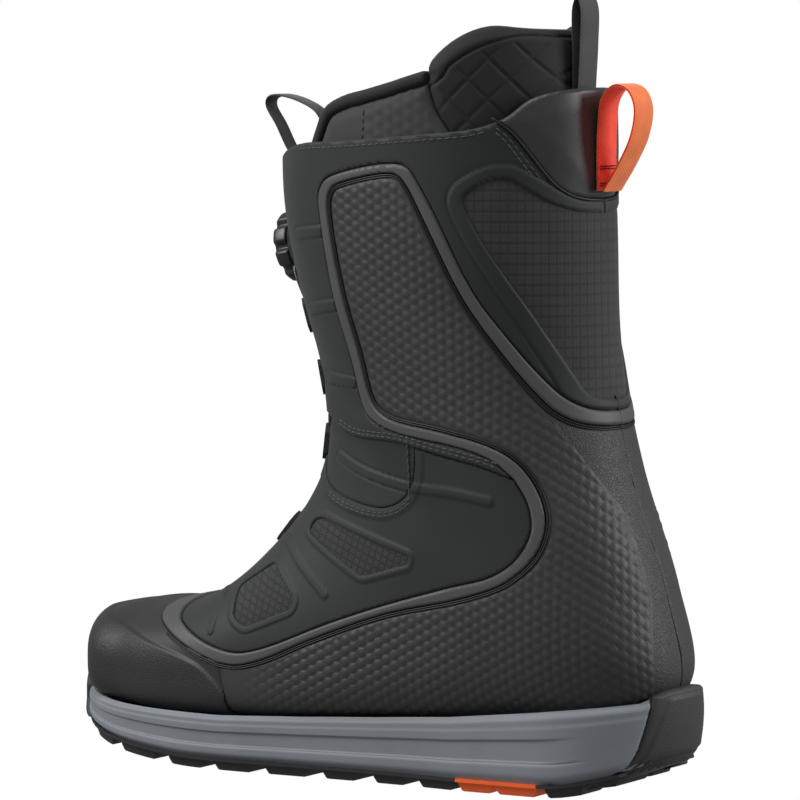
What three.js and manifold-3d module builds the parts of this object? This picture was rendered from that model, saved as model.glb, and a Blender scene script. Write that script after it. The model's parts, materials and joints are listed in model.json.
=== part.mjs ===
// Soft snowboard boot for the left foot, closed by a dial and a steel cable.
// Millimetres. +Z is up, the toe points along -Y and +X is the outer (lateral) side.
// The ground is z = 0 and the origin is under the middle of the sole.
import * as THREE from 'three';
import { mergeVertices } from 'three/addons/utils/BufferGeometryUtils.js';
import Module from 'manifold-3d';

const wasm = await Module();
wasm.setup();

// ---------------------------------------------------------------- driving dimensions
const soleLength = 304;
const forefootWidth = 114;
const shellHeight = 293;

// The sections and outlines below are drawn on the size that has these measures,
// and are graded from it to the size that is built.
const drawnLength = 304;
const drawnWidth = 114;
const drawnHeight = 293;

const gap = 0.3;             // between neighbours that touch
const shellWall = 2.2;       // outer panels
const stiffenerWall = 1.5;   // heel counter, spine, toe puff, tongue and lasting board
const linerWall = 5;         // foam of the inner boot
const linerDepth = shellWall + gap + stiffenerWall + gap;
const footbedThickness = 4;
const footbedMargin = 1;
const lastingMargin = 20;    // how far the panels turn in under the foot
const meshWall = 1.2;        // woven windows in the panels
const bandProud = 0.6;       // how far the seam band stands out

const plateThickness = 1.4;
const lugHeight = 4.2;
const lugLength = 16;
const lugPitch = 24.4;
const firstLugY = -97.5;
const lugGroove = 6;
const lugDraft = 1.6;
const lugRows = 10;
const insertStartY = 59.5;
const insertEndY = 99.5;
const heelWrapTopY = 138;
const heelWrapFootY = 129;

const dialRadius = 14.5;
const dialHeight = 7.4;
const dialTopWall = 1.8;
const dialNotches = 12;
const dialNotchDepth = 1.1;
const dialFlange = 17;
const dialStation = 0.836;   // place on the form's length
const cupRadius = 11.8;
const cupWall = 1.4;
const cupHeight = 5.6;
const cupFloor = 1;
const spoolHeight = 3.4;
const spoolCore = 5;
const axleRadius = 1.8;
const discThickness = 1.2;
const screwHeadRadius = 3.4;
const screwHeadHeight = 1;
const runningGap = 0.35;
const knobLow = 4;           // from the cup's foot to the knob's skirt
const knobClear = 0.6;       // under the knob's skirt
const portLift = 1.2;        // from the cup's floor to the cable's port
const spoolLip = 0.6;
const dialTravel = 2.5;

const cableRadius = 0.7;
const guideLength = 15;
const guideWidth = 8;
const guideThickness = 3.4;
const guideTurn = 4.2;       // radius of the cable's turn inside a guide
const guideStations = [0.735, 0.625, 0.525, 0.39];
const guideAngles = [0.37, 0.36, 0.34, 0.3];
const mouthReach = 0.014;      // a guide's mouth above or below its middle, along the form
const portAngle = 0.6;         // below level, where the cable leaves the dial
const cableLift = 1.4;         // from the tongue to the cable inside a guide
const channelClear = 0.7;
const cableSlack = 1.2;        // from the tongue to the cable between guides

const pullWidth = 15;
const pullThickness = 1.5;
const pullClear = 0.6;
const tonguePullWidth = 9;
const tonguePullThickness = 1.2;
const heelPullStation = 0.944;
const linerPullStation = 0.985;
const tonguePullStation = 0.94;
const linerLean = 8;         // how far the inner boot leans in to the calf at the back

// ---------------------------------------------------------------- grading
const gradeX = (x) => x * forefootWidth / drawnWidth;
const gradeY = (y) => y * soleLength / drawnLength;
const gradeZ = (z) => z * shellHeight / drawnHeight;
const sidePoint = ([y, z]) => [gradeY(y), gradeZ(z)];
const planPoint = ([x, y]) => [gradeX(x), gradeY(y)];
const frontPoint = ([x, z]) => [gradeX(x), gradeZ(z)];

// ---------------------------------------------------------------- the form of the boot
// Each section ring runs from a point on the sole-and-heel line to a point on the
// instep-and-shin line. s runs from the toe tip to above the top of the shell.
const sections = [
  // s, heel line y, z, shin line y, z, half width, height of widest, powers, sideways
  [0.00, -149, 37, -149.5, 45, 7, 0.50, 2.2, 2.4, -9],
  [0.025, -146, 29, -146, 58, 25, 0.47, 2.5, 3.0, -9],
  [0.07, -134, 25, -134, 63, 46, 0.42, 2.7, 4.0, -8],
  [0.15, -110, 22, -110, 65.5, 52.5, 0.38, 2.7, 5.0, -6],
  [0.24, -76, 21, -81, 72.5, 55, 0.36, 2.5, 5.0, -3],
  [0.33, -35, 22, -58, 88, 53, 0.34, 2.3, 5.0, 0],
  [0.42, 20, 25, -37.5, 113, 48, 0.34, 2.1, 4.5, 2],
  [0.51, 80, 28, -26.5, 139.5, 46, 0.38, 2.1, 3.6, 2],
  [0.58, 126, 31, -27, 160, 46, 0.42, 2.1, 2.8, 2],
  [0.63, 143, 47, -30, 173.5, 46, 0.44, 2.1, 2.4, 1.5],
  [0.68, 136.5, 80, -33, 185, 47, 0.46, 2.1, 2.2, 1],
  [0.76, 118.5, 131, -37.5, 203, 49, 0.48, 2.2, 2.1, 0],
  [0.84, 108, 180, -43, 225, 52, 0.48, 2.2, 2.0, 0],
  [0.92, 105, 231, -46.5, 251, 55, 0.48, 2.2, 2.0, 0],
  [1.00, 103, 293, -46, 282, 56, 0.48, 2.2, 2.0, 0],
  [1.10, 101, 335, -43, 318, 55, 0.48, 2.2, 2.0, 0],
].map(([s, hy, hz, fy, fz, w, mid, fp, hp, shift]) => (
  [s, gradeY(hy), gradeZ(hz), gradeY(fy), gradeZ(fz), gradeX(w), mid, fp, hp, gradeX(shift)]
));
const lastSection = sections[sections.length - 1][0];

function slopes(column) {
  const count = sections.length;
  const step = (i) => sections[i + 1][0] - sections[i][0];
  const rise = (i) => (sections[i + 1][column] - sections[i][column]) / step(i);
  const result = [];
  for (let i = 1; i < count - 1; i += 1) {
    result[i] = (step(i) * rise(i - 1) + step(i - 1) * rise(i)) / (step(i) + step(i - 1));
  }
  result[0] = rise(0) + (rise(0) - result[1]) / 2;
  result[count - 1] = rise(count - 2) + (rise(count - 2) - result[count - 2]) / 2;
  return result;
}
const columnSlopes = sections[0].map((_, column) => (column === 0 ? null : slopes(column)));

// Smooth value of one column of the section table at s.
function along(column, s) {
  let i = 0;
  while (i < sections.length - 2 && s > sections[i + 1][0]) i += 1;
  const h = sections[i + 1][0] - sections[i][0];
  const u = (s - sections[i][0]) / h;
  const rise = columnSlopes[column];
  return sections[i][column] * (2 * u ** 3 - 3 * u ** 2 + 1)
    + h * rise[i] * (u ** 3 - 2 * u ** 2 + u)
    + sections[i + 1][column] * (-2 * u ** 3 + 3 * u ** 2)
    + h * rise[i + 1] * (u ** 3 - u ** 2);
}

// The section at s, set in from the outside by depth along the form's own normals.
function sectionAt(s, depth) {
  const probe = 0.002;
  const low = Math.max(s - probe, 0);
  const high = Math.min(s + probe, lastSection);
  const change = (column) => along(column, high) - along(column, low);
  const heelRun = Math.hypot(change(1), change(2));
  const shinRun = Math.hypot(change(3), change(4));
  const midRun = Math.hypot(change(1) + change(3), change(2) + change(4)) / 2;
  const flank = midRun / Math.hypot(midRun, change(5));
  const lean = depth > linerDepth - gap / 2 ? linerLean * THREE.MathUtils.smoothstep(s, 0.9, 1) : 0;
  return {
    lean,
    heel: [along(1, s) - depth * change(2) / heelRun, along(2, s) + depth * change(1) / heelRun],
    shin: [along(3, s) + depth * change(4) / shinRun, along(4, s) - depth * change(3) / shinRun],
    width: along(5, s) - depth * flank,
    mid: along(6, s),
    shinPower: along(7, s),
    heelPower: along(8, s),
    shift: along(9, s),
  };
}

// Point of the form; turn 0 is the middle of the shin, pi the middle of the heel.
function formPoint(s, turn, depth = 0) {
  const ring = sectionAt(s, depth);
  const cos = Math.cos(turn);
  const sin = Math.sin(turn);
  const power = 2 / (cos >= 0 ? ring.shinPower : ring.heelPower);
  const away = Math.abs(cos) ** power;
  const share = cos >= 0 ? ring.mid + (1 - ring.mid) * away : ring.mid * (1 - away);
  return new THREE.Vector3(
    ring.shift + ring.width * Math.sign(sin) * Math.abs(sin) ** power,
    ring.heel[0] + share * (ring.shin[0] - ring.heel[0]) - (cos < 0 ? ring.lean * away : 0),
    ring.heel[1] + share * (ring.shin[1] - ring.heel[1]),
  );
}

// ---------------------------------------------------------------- solids
function toSolid(geometry) {
  const bare = geometry.index ? geometry.clone() : geometry;
  bare.deleteAttribute('normal');
  bare.deleteAttribute('uv');
  const merged = mergeVertices(bare, 1e-4);
  return new wasm.Manifold(new wasm.Mesh({
    numProp: 3,
    vertProperties: new Float32Array(merged.attributes.position.array),
    triVerts: new Uint32Array(merged.index.array),
  }));
}

function toGeometry(solid) {
  const mesh = solid.getMesh();
  const geometry = new THREE.BufferGeometry();
  geometry.setAttribute('position', new THREE.BufferAttribute(mesh.vertProperties, 3));
  geometry.setIndex(new THREE.BufferAttribute(mesh.triVerts, 1));
  geometry.computeVertexNormals();
  return geometry;
}

const joinAll = (solids) => solids.reduce((sum, solid) => sum.add(solid));

// Closed solid inside the form, set in by depth (set out where depth is negative).
const formSides = 16;
const ankleRings = [0.375, 0.465];
const formCache = new Map();
function form(depth) {
  if (formCache.has(depth)) return formCache.get(depth);
  const sides = formSides;
  const positions = [];
  const index = [];
  const stations = [...sections.map((section) => section[0]), ...ankleRings].sort((a, b) => a - b);
  stations.forEach((s) => {
    for (let j = 0; j < sides; j += 1) {
      positions.push(...formPoint(s, 2 * Math.PI * j / sides, depth).toArray());
    }
  });
  const at = (i, j) => i * sides + (j % sides);
  for (let i = 0; i < stations.length - 1; i += 1) {
    for (let j = 0; j < sides; j += 1) {
      index.push(at(i, j), at(i, j + 1), at(i + 1, j));
      index.push(at(i, j + 1), at(i + 1, j + 1), at(i + 1, j));
    }
  }
  for (const i of [0, stations.length - 1]) {
    const centre = positions.length / 3;
    const middle = new THREE.Vector3();
    for (let j = 0; j < sides; j += 1) {
      middle.add(new THREE.Vector3().fromArray(positions, at(i, j) * 3));
    }
    positions.push(...middle.divideScalar(sides).toArray());
    for (let j = 0; j < sides; j += 1) {
      if (i === 0) index.push(centre, at(i, j + 1), at(i, j));
      else index.push(centre, at(i, j), at(i, j + 1));
    }
  }
  const geometry = new THREE.BufferGeometry();
  geometry.setAttribute('position', new THREE.Float32BufferAttribute(positions, 3));
  geometry.setIndex(index);
  const solid = toSolid(geometry);
  formCache.set(depth, solid);
  return solid;
}

// Moves every corner of a closed outline inwards by distance.
function inset(outline, distance) {
  const area = THREE.ShapeUtils.area(outline.map(([a, b]) => new THREE.Vector2(a, b)));
  const turn = Math.sign(area);
  return outline.map((corner, i) => {
    const before = outline[(i + outline.length - 1) % outline.length];
    const after = outline[(i + 1) % outline.length];
    const first = new THREE.Vector2(corner[0] - before[0], corner[1] - before[1]).normalize();
    const second = new THREE.Vector2(after[0] - corner[0], after[1] - corner[1]).normalize();
    const normal = new THREE.Vector2(-first.y - second.y, first.x + second.x);
    const miter = Math.max(normal.lengthSq() / 2, 0.2);
    return [
      corner[0] + turn * distance * normal.x / miter,
      corner[1] + turn * distance * normal.y / miter,
    ];
  });
}

// Rounded open line through the points, with extra points between them.
function smooth(points, between = 2) {
  const curve = new THREE.SplineCurve(points.map(([a, b]) => new THREE.Vector2(a, b)));
  return curve.getPoints((points.length - 1) * between).map((p) => [p.x, p.y]);
}

function extruded(outline, low, high) {
  const shape = new THREE.Shape(outline.map(([a, b]) => new THREE.Vector2(a, b)));
  const geometry = new THREE.ExtrudeGeometry(shape, { depth: high - low, bevelEnabled: false });
  return geometry.translate(0, 0, low);
}

// Prism of a side-view outline [y, z] between two x values.
function sidePrism(outline, low = -200, high = 200) {
  const geometry = extruded(outline, low, high);
  const turned = new THREE.Matrix4().set(0, 0, 1, 0, 1, 0, 0, 0, 0, 1, 0, 0, 0, 0, 0, 1);
  return toSolid(geometry.applyMatrix4(turned));
}

// Prism of a front-view outline [x, z] between two y values.
function frontPrism(outline, low, high) {
  const geometry = extruded(outline, -high, -low);
  return toSolid(geometry.applyMatrix4(new THREE.Matrix4().makeRotationX(Math.PI / 2)));
}

// Prism of a plan outline [x, y] between two heights.
const planPrism = (outline, low, high) => toSolid(extruded(outline, low, high));

function block(lowCorner, highCorner) {
  const size = highCorner.map((value, i) => value - lowCorner[i]);
  const geometry = new THREE.BoxGeometry(...size);
  return toSolid(geometry.translate(...lowCorner.map((value, i) => value + size[i] / 2)));
}

const wall = (outer, inner) => form(outer).subtract(form(inner));

const reach = 400;
const outerHalf = block([gap / 2, -reach, -reach], [reach, reach, reach]);
const innerHalf = block([-reach, -reach, -reach], [-gap / 2, reach, reach]);
const halves = { outer: outerHalf, inner: innerHalf };

// Piece of a wall inside a side-view outline, with half the gap left round it.
const piece = (solid, outline) => solid.intersect(sidePrism(inset(outline, gap / 2)));
const without = (solid, outline) => solid.subtract(sidePrism(inset(outline, -gap / 2)));

// ---------------------------------------------------------------- seam lines, side view
const vampLine = smooth([
  [-92, 84], [-90, 71], [-85, 64], [-75, 59], [-59, 53], [-46, 51], [-32, 54], [-2, 66],
  [27, 76], [58, 85], [79, 91], [90, 99], [95, 110], [93, 121], [87, 131],
].map(sidePoint), 1);
const cuffLine = smooth([
  [87, 131], [78, 138], [65, 143], [26, 149.5], [14, 156], [8, 178], [0.5, 203], [-5, 237],
  [-3, 249], [8, 256], [37, 260], [45, 255], [54, 240], [69, 208], [82, 189], [94, 173],
  [102, 164], [110, 159], [125, 157],
].map(sidePoint), 1);
const toeLine = smooth([
  [-106, 84], [-104, 71], [-100, 64], [-86, 57], [-67, 49.5], [-55, 46],
].map(sidePoint), 1);
const quarterLine = smooth([
  [-55, 46], [-46, 45.5], [-32, 49], [-10, 58.5], [27, 72], [65, 81], [86, 89], [97.5, 100],
  [100.5, 113], [96, 127], [87, 138.5], [75, 145], [54, 150], [27, 154.5], [19, 160], [13, 181],
  [6, 205], [0.5, 237], [3, 248], [11, 253], [34, 256], [41, 252], [50, 236], [65, 205],
  [79, 184], [91, 168], [100, 158], [109, 153], [125, 151],
].map(sidePoint), 1);
const hemLine = smooth([
  [-60, 168], [-14, 152.5], [-5, 148], [5, 145], [32, 144], [54, 140], [73, 136], [87, 131],
].map(sidePoint), 1);
const toeSideLine = [[-55, 46], [-52, 33], [-50, 5]].map(sidePoint);
const shellTopLine = smooth([
  [-80, 246], [-50, 253], [-36, 263], [-20, 268], [9, 270], [48, 273], [70, 275.5], [81, 280],
  [89, 287.5], [97, 291], [110, 293], [130, 293],
].map(sidePoint), 1);
const collarLine = smooth([
  [75, 281], [83, 274], [90, 263], [97, 251], [103, 246], [120, 244],
].map(sidePoint));
const rearPanelOutline = [
  [64, 247], [72, 253], [81, 256], [97, 243], [108, 238.5], [130, 238], [130, 162], [108, 163],
  [101, 178], [89, 201], [72, 230],
].map(sidePoint);
const upperWindow = [
  [-19.5, 104], [-17, 108.5], [-11, 109.5], [38, 96.5], [37, 93.5], [14, 87],
].map(sidePoint);
const lowerWindow = [
  [-36, 89.5], [-54, 78.5], [-50, 66], [-43, 62], [-21, 71], [-20, 75],
].map(sidePoint);
const strapOutline = [
  [-17, 140], [-16, 128], [-7, 121.5], [7, 117.5], [22, 116], [31, 118.5], [38, 125], [41, 139],
  [32, 142.5], [5, 143.5], [-5, 146.5], [-13, 150],
].map(sidePoint);

const last = (line) => line[line.length - 1];
const far = 170;
const toeOutline = [
  ...toeLine, ...toeSideLine.slice(1), [gradeY(-far), last(toeSideLine)[1]], [gradeY(-far), toeLine[0][1]],
];
const quarterOutline = [
  ...quarterLine, [gradeY(far), last(quarterLine)[1]], [gradeY(far), last(toeSideLine)[1]],
  ...toeSideLine.slice(1).reverse(),
];
const bandOutline = [
  ...toeLine, ...quarterLine.slice(1), ...cuffLine.slice(1).reverse(), ...vampLine.slice().reverse(),
];
const vampOutline = [...vampLine, ...hemLine.slice(0, -1).reverse(), sidePoint([-92, 168])];
const cuffOutline = [
  ...hemLine, ...cuffLine.slice(1), [gradeY(far), last(cuffLine)[1]], [gradeY(far), gradeZ(far * 2)],
  [hemLine[0][0], gradeZ(far * 2)],
];
const shellTopOutline = [
  ...shellTopLine, [gradeY(far), last(shellTopLine)[1]], [gradeY(far), -far], [-far * 1.2, -far],
  [-far * 1.2, shellTopLine[0][1]],
];
const collarOutline = [
  ...collarLine, [gradeY(far), last(collarLine)[1]], [gradeY(far), gradeZ(far * 2)],
  [collarLine[0][0], gradeZ(far * 2)],
];

// The throat that the tongue fills, front view [x, z], and where its foot ends.
const throatHalf = [[30, 320], [30, 262], [26, 205], [24.5, 170], [24.5, 110], [23, 92], [15, 80], [0, 75]];
const throatOutline = [
  ...throatHalf, ...throatHalf.slice(0, -1).reverse().map(([x, z]) => [-x, z]),
].map(frontPoint);
const throat = frontPrism(throatOutline, gradeY(-far), 0);

// ---------------------------------------------------------------- outer shell panels
const bottomCut = planPrism(
  inset(soleOutline(), lastingMargin),
  -far,
  gradeZ(40),
);
const shellSkin = wall(0, shellWall)
  .intersect(sidePrism(shellTopOutline))
  .subtract(bottomCut)
  .subtract(throat);

const quarterSkin = piece(shellSkin, quarterOutline);
const toeCap = piece(shellSkin, toeOutline);
const vampSkin = [upperWindow, lowerWindow, strapOutline]
  .reduce(without, piece(shellSkin, vampOutline));
const cuffSkin = without(without(piece(shellSkin, cuffOutline), rearPanelOutline), collarOutline);
const rearPanel = piece(
  form(0).subtract(form(meshWall)).intersect(sidePrism(shellTopOutline)),
  rearPanelOutline,
);
const collar = piece(shellSkin, collarOutline);
const bandSkin = piece(
  form(-bandProud).subtract(form(shellWall)).subtract(bottomCut).subtract(throat),
  bandOutline,
);
const windowSkin = form(0).subtract(form(meshWall)).subtract(throat);

// ---------------------------------------------------------------- stiffeners and tongue
const stiffenerTop = shellWall + gap;
const stiffenerFoot = stiffenerTop + stiffenerWall;
const stiffenerSkin = wall(stiffenerTop, stiffenerFoot);

const counterOutline = [
  [70, 36], [180, 36], [180, 120], [105, 120], [92, 100], [72, 70],
].map(sidePoint);
const puffOutline = [[-180, 30], [-104, 30], [-96, 60], [-110, 90], [-180, 90]].map(sidePoint);
const spineOutline = [[80, 124], [180, 124], [180, 268], [80, 268]].map(sidePoint);
const boardOutline = [[-180, 4], [180, 4], [180, 32], [-180, 24]].map(sidePoint);
const tongueHalf = [[36, 273], [36, 200], [33, 150], [33, 110], [30, 90], [20, 76], [0, 71]];
const tongueOutline = [
  ...tongueHalf, ...tongueHalf.slice(0, -1).reverse().map(([x, z]) => [-x, z]),
].map(frontPoint);

const spineHalfWidth = 22;
const heelCounter = piece(stiffenerSkin, counterOutline);
const toePuff = piece(stiffenerSkin, puffOutline);
const spine = piece(stiffenerSkin, spineOutline)
  .intersect(block([-spineHalfWidth, 0, 0], [spineHalfWidth, reach, reach]));
const lastingBoard = piece(stiffenerSkin, boardOutline);
const tongue = stiffenerSkin.intersect(frontPrism(tongueOutline, gradeY(-far), gradeY(8)));

// ---------------------------------------------------------------- inner boot
const linerOut = linerDepth;
const linerIn = linerOut + linerWall;
const bindingHeight = 6;
const linerTopLine = smooth([
  [-90, 258], [-46, 260], [-18, 263], [-10, 274], [-4, 284], [6, 288], [19, 291], [50, 298],
  [54, 304], [66, 313], [80, 318], [95, 317], [120, 315],
].map(sidePoint), 1);
const linerTopOutline = [
  ...linerTopLine, [gradeY(far), last(linerTopLine)[1]], [gradeY(far), -far], [-far * 1.2, -far],
  [-far * 1.2, linerTopLine[0][1]],
];
const bindingPoints = 8;
const bindingLine = linerTopLine.slice(0, bindingPoints);
const bindingOutline = [
  ...bindingLine.map(([y, z]) => [y, z + bindingHeight]),
  ...bindingLine.slice().reverse().map(([y, z]) => [y, z - bindingHeight]),
];
const linerCollarOutline = [
  [50, 340], [50, 292], [55, 282], [68, 266], [74, 252], [130, 252], [130, 340],
].map(sidePoint);
const linerSkin = wall(linerOut, linerIn).intersect(sidePrism(linerTopOutline));
const ankleY = gradeY(14);
const linerSeamZ = gradeZ(142);
const linerSlice = (lowY, lowZ, highY, highZ) => (
  linerSkin.intersect(block([-reach, lowY, lowZ], [reach, highY, highZ]))
);
const linerFront = linerSlice(-reach, -reach, ankleY - gap / 2, linerSeamZ);
const linerHeel = linerSlice(ankleY + gap / 2, -reach, reach, linerSeamZ);
const linerUpper = linerSlice(-reach, linerSeamZ + gap, reach, reach);
const linerTongueX = gradeX(27);
const linerTongueZone = block([-linerTongueX, -reach, -reach], [linerTongueX, 0, reach]);
const linerTongueClear = block([-linerTongueX - gap, -reach, -reach], [linerTongueX + gap, 0, reach]);
const linerBinding = piece(linerUpper, bindingOutline);
const linerPanels = without(without(linerUpper, bindingOutline), linerCollarOutline);
const linerTongue = linerPanels.intersect(linerTongueZone);
const linerShaft = linerPanels.subtract(linerTongueClear);
const linerCollar = piece(without(linerUpper, bindingOutline), linerCollarOutline);

function footbedShape() {
  const line = [];
  for (let s = 0.07; s < 0.6; s += 0.06) {
    const ring = sectionAt(s, linerIn + gap);
    line.push([ring.heel[0], ring.heel[1] + footbedThickness]);
  }
  const low = gradeZ(10);
  const outline = [
    [line[0][0] - 20, line[0][1]], ...line, [last(line)[0] + 30, last(line)[1]],
    [last(line)[0] + 30, low], [line[0][0] - 20, low],
  ];
  return form(linerIn + footbedMargin).intersect(sidePrism(outline));
}

// ---------------------------------------------------------------- sole
// Plan outline of the sole, outer side then inner side.
function soleOutline() {
  const outer = [
    [0, 152], [14, 149], [26, 141], [37, 126], [44.5, 104], [45.5, 70], [45.5, 40], [47.5, 10],
    [51, -20], [55.5, -50], [56, -80], [51, -110], [37, -133], [14, -148],
  ];
  const inner = [
    [-8, -152], [-28, -149], [-46, -138], [-56, -115], [-58, -85], [-53, -50], [-46, 0], [-43, 50],
    [-42, 100], [-36, 127], [-25, 142], [-13, 149.5],
  ];
  return [...outer, ...inner].map(planPoint);
}

// Underside of the lugs: flat, with spring at the toe and a bevel at the heel.
const groundLine = smooth([
  [-160, 21], [-150, 15], [-140, 10.5], [-126, 6.5], [-108, 3.6], [-90, 1.6], [-76, 0.4],
  [-66, 0], [104, 0], [112, 1], [121, 2.8], [131, 5.4], [142, 9], [152, 14], [160, 19],
].map(sidePoint), 1);
const rimLine = [
  [-160, 27.5], [-116, 24.8], [-89, 24], [-55, 23.7], [-15, 25.4], [20, 27.5], [56, 30.3],
  [108, 36.6], [138, 39.8], [144, 43.5], [151, 45], [160, 45],
].map(sidePoint);

const raised = (line, height) => line.map(([y, z]) => [y, z + height]);
const layer = (lowLine, highLine) => sidePrism([...lowLine, ...highLine.slice().reverse()]);
const heightOn = (line, y) => {
  const i = Math.max(1, line.findIndex((point) => point[0] >= y));
  const [[lowY, lowZ], [highY, highZ]] = [line[i - 1], line[i]];
  return THREE.MathUtils.mapLinear(y, lowY, highY, lowZ, highZ);
};
const keptBelow = (line, top) => line.map(([y, z]) => [y, Math.min(z, heightOn(top, y) - gap)]);
const plateTop = lugHeight + plateThickness;

const soleColumn = planPrism(soleOutline(), -far, far);
const plateColumn = planPrism(inset(soleOutline(), gap), -far, far);
const heelEdge = [
  [gradeY(heelWrapFootY), -20], [gradeY(heelWrapFootY), gradeZ(10)], [gradeY(heelWrapTopY - 3), gradeZ(19)],
  [gradeY(heelWrapTopY), gradeZ(44)], [gradeY(heelWrapTopY), 80],
];
const behindHeelEdge = [...heelEdge, [gradeY(far), 80], [gradeY(far), -20]];
const soleBody = layer(keptBelow(raised(groundLine, plateTop), rimLine), rimLine)
  .intersect(soleColumn)
  .subtract(form(-gap));
const midsole = without(soleBody, behindHeelEdge);
const heelWrap = piece(
  layer(groundLine, rimLine).intersect(soleColumn).subtract(form(-gap)),
  behindHeelEdge,
);
const plate = layer(raised(groundLine, lugHeight), raised(groundLine, plateTop - gap))
  .intersect(plateColumn);

// Tread lugs: rows across the sole, each row in three blocks with sloping ends.
function lugRow(centreY) {
  const foot = lugLength / 2 - lugDraft;
  const head = lugLength / 2;
  const low = groundLine[0][1];
  return sidePrism([
    [centreY - foot, -low], [centreY + foot, -low], [centreY + foot, lugHeight / 8],
    [centreY + head, lugHeight], [centreY + head, low], [centreY - head, low],
    [centreY - head, lugHeight], [centreY - foot, lugHeight / 8],
  ]);
}
const lugCentres = Array.from({ length: lugRows }, (_, i) => gradeY(firstLugY + i * lugPitch));
const lugGrooveX = gradeX(17);
const grooves = [-1, 1].map((side) => block(
  [side * lugGrooveX - lugGroove / 2, -reach, -30],
  [side * lugGrooveX + lugGroove / 2, reach, lugHeight + 30],
));
const treadShape = joinAll(lugCentres.map(lugRow))
  .intersect(layer(groundLine, raised(groundLine, lugHeight + plateThickness / 2)))
  .intersect(plateColumn)
  .subtract(joinAll(grooves));
const heelTreadY = gradeY(heelWrapFootY) - 4;
const tread = treadShape.add(plate);

const soleSlice = (lowY, highY) => (
  tread.intersect(block([-reach, lowY, -reach], [reach, highY, reach]))
);
const outsoleFront = soleSlice(-reach, gradeY(insertStartY) - gap / 2);
const outsoleInsert = soleSlice(gradeY(insertStartY) + gap / 2, gradeY(insertEndY) - gap / 2);
const heelBevel = layer(groundLine, raised(groundLine, plateTop - gap))
  .intersect(plateColumn)
  .intersect(block([-reach, heelTreadY, -reach], [reach, reach, reach]));
const outsoleHeel = soleSlice(gradeY(insertEndY) + gap / 2, reach).add(heelBevel).add(heelWrap);

const bumperOutline = [[-170, 27.8], [-136, 26.4], [-138, 30], [-149, 38], [-170, 38]].map(sidePoint);
const toeBumper = sidePrism(inset(bumperOutline, gap / 2)).intersect(soleColumn).subtract(form(-gap));

// ---------------------------------------------------------------- dial
const shinAt = (s, depth) => new THREE.Vector3(0, ...sectionAt(s, depth).shin);
const dialFoot = shinAt(dialStation, stiffenerTop);
const dialAxis = shinAt(dialStation, 0).sub(shinAt(dialStation, 1)).normalize();
const dialTurn = new THREE.Quaternion().setFromUnitVectors(new THREE.Vector3(0, 1, 0), dialAxis);

// Solid of revolution about the dial's axis, from a profile [radius, height].
function turned(profile, segments = 20) {
  const geometry = new THREE.LatheGeometry(profile.map(([r, h]) => new THREE.Vector2(r, h)), segments);
  return toSolid(geometry);
}
const disc = (radius, low, high, segments) => (
  turned([[0, low], [radius, low], [radius, high], [0, high]], segments)
);

function placedOnDial(solid) {
  const geometry = toGeometry(solid);
  geometry.applyQuaternion(dialTurn);
  geometry.translate(dialFoot.x, dialFoot.y, dialFoot.z);
  return toSolid(geometry);
}

const cupInner = cupRadius - cupWall;
const spoolLow = cupFloor + runningGap;
const spoolHigh = spoolLow + spoolHeight;
const discLow = spoolHigh + runningGap;
const discHigh = discLow + discThickness;
const knobHigh = knobLow + dialHeight;
const knobCeiling = knobHigh - dialTopWall;
const flangeTop = knobLow - knobClear;
const portHeight = cupFloor + portLift;
const portRadius = cableRadius + runningGap;

function dialBaseShape() {
  const body = turned([
    [0, -6], [dialFlange, -6], [dialFlange, 0.6], [dialFlange - 1.4, flangeTop], [cupRadius, flangeTop],
    [cupRadius, cupHeight], [cupInner, cupHeight], [cupInner, cupFloor], [axleRadius, cupFloor],
    [axleRadius, spoolHigh], [0, spoolHigh],
  ]);
  const port = new THREE.CylinderGeometry(portRadius, portRadius, dialFlange * 2, 8);
  port.rotateZ(Math.PI / 2).translate(dialFlange, portHeight, 0);
  const ports = [portAngle, Math.PI - portAngle].map((angle) => toSolid(port.clone().rotateY(-angle)));
  return ports.reduce((solid, hole) => solid.subtract(hole), body);
}

function spoolShape() {
  const rim = cupInner - runningGap;
  return turned([
    [axleRadius + runningGap, spoolLow], [rim, spoolLow], [rim, spoolLow + spoolLip],
    [spoolCore, spoolLow + spoolLip], [spoolCore, spoolHigh - spoolLip], [rim, spoolHigh - spoolLip],
    [rim, spoolHigh], [axleRadius + runningGap, spoolHigh], [axleRadius + runningGap, spoolLow],
  ]);
}

function windingShape() {
  const outer = cupInner - runningGap - 2 * spoolLip;
  const low = spoolLow + spoolLip + gap;
  const high = spoolHigh - spoolLip - gap;
  return turned([
    [spoolCore + gap, low], [outer, low], [outer, high], [spoolCore + gap, high], [spoolCore + gap, low],
  ]);
}

function driveDiscShape() {
  const rim = cupInner - runningGap;
  const tooth = 0.7;
  const teeth = 12;
  const points = [];
  for (let i = 0; i < teeth; i += 1) {
    const angle = 2 * Math.PI * i / teeth;
    points.push([(rim - tooth) * Math.cos(angle), (rim - tooth) * Math.sin(angle)]);
    points.push([rim * Math.cos(angle + 0.12), rim * Math.sin(angle + 0.12)]);
  }
  const flat = planPrism(points, discLow, discHigh);
  const geometry = toGeometry(flat);
  geometry.rotateX(-Math.PI / 2);
  const boss = disc(screwHeadRadius, discLow, knobCeiling - dialTravel, 20);
  return toSolid(geometry).add(boss);
}

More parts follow.
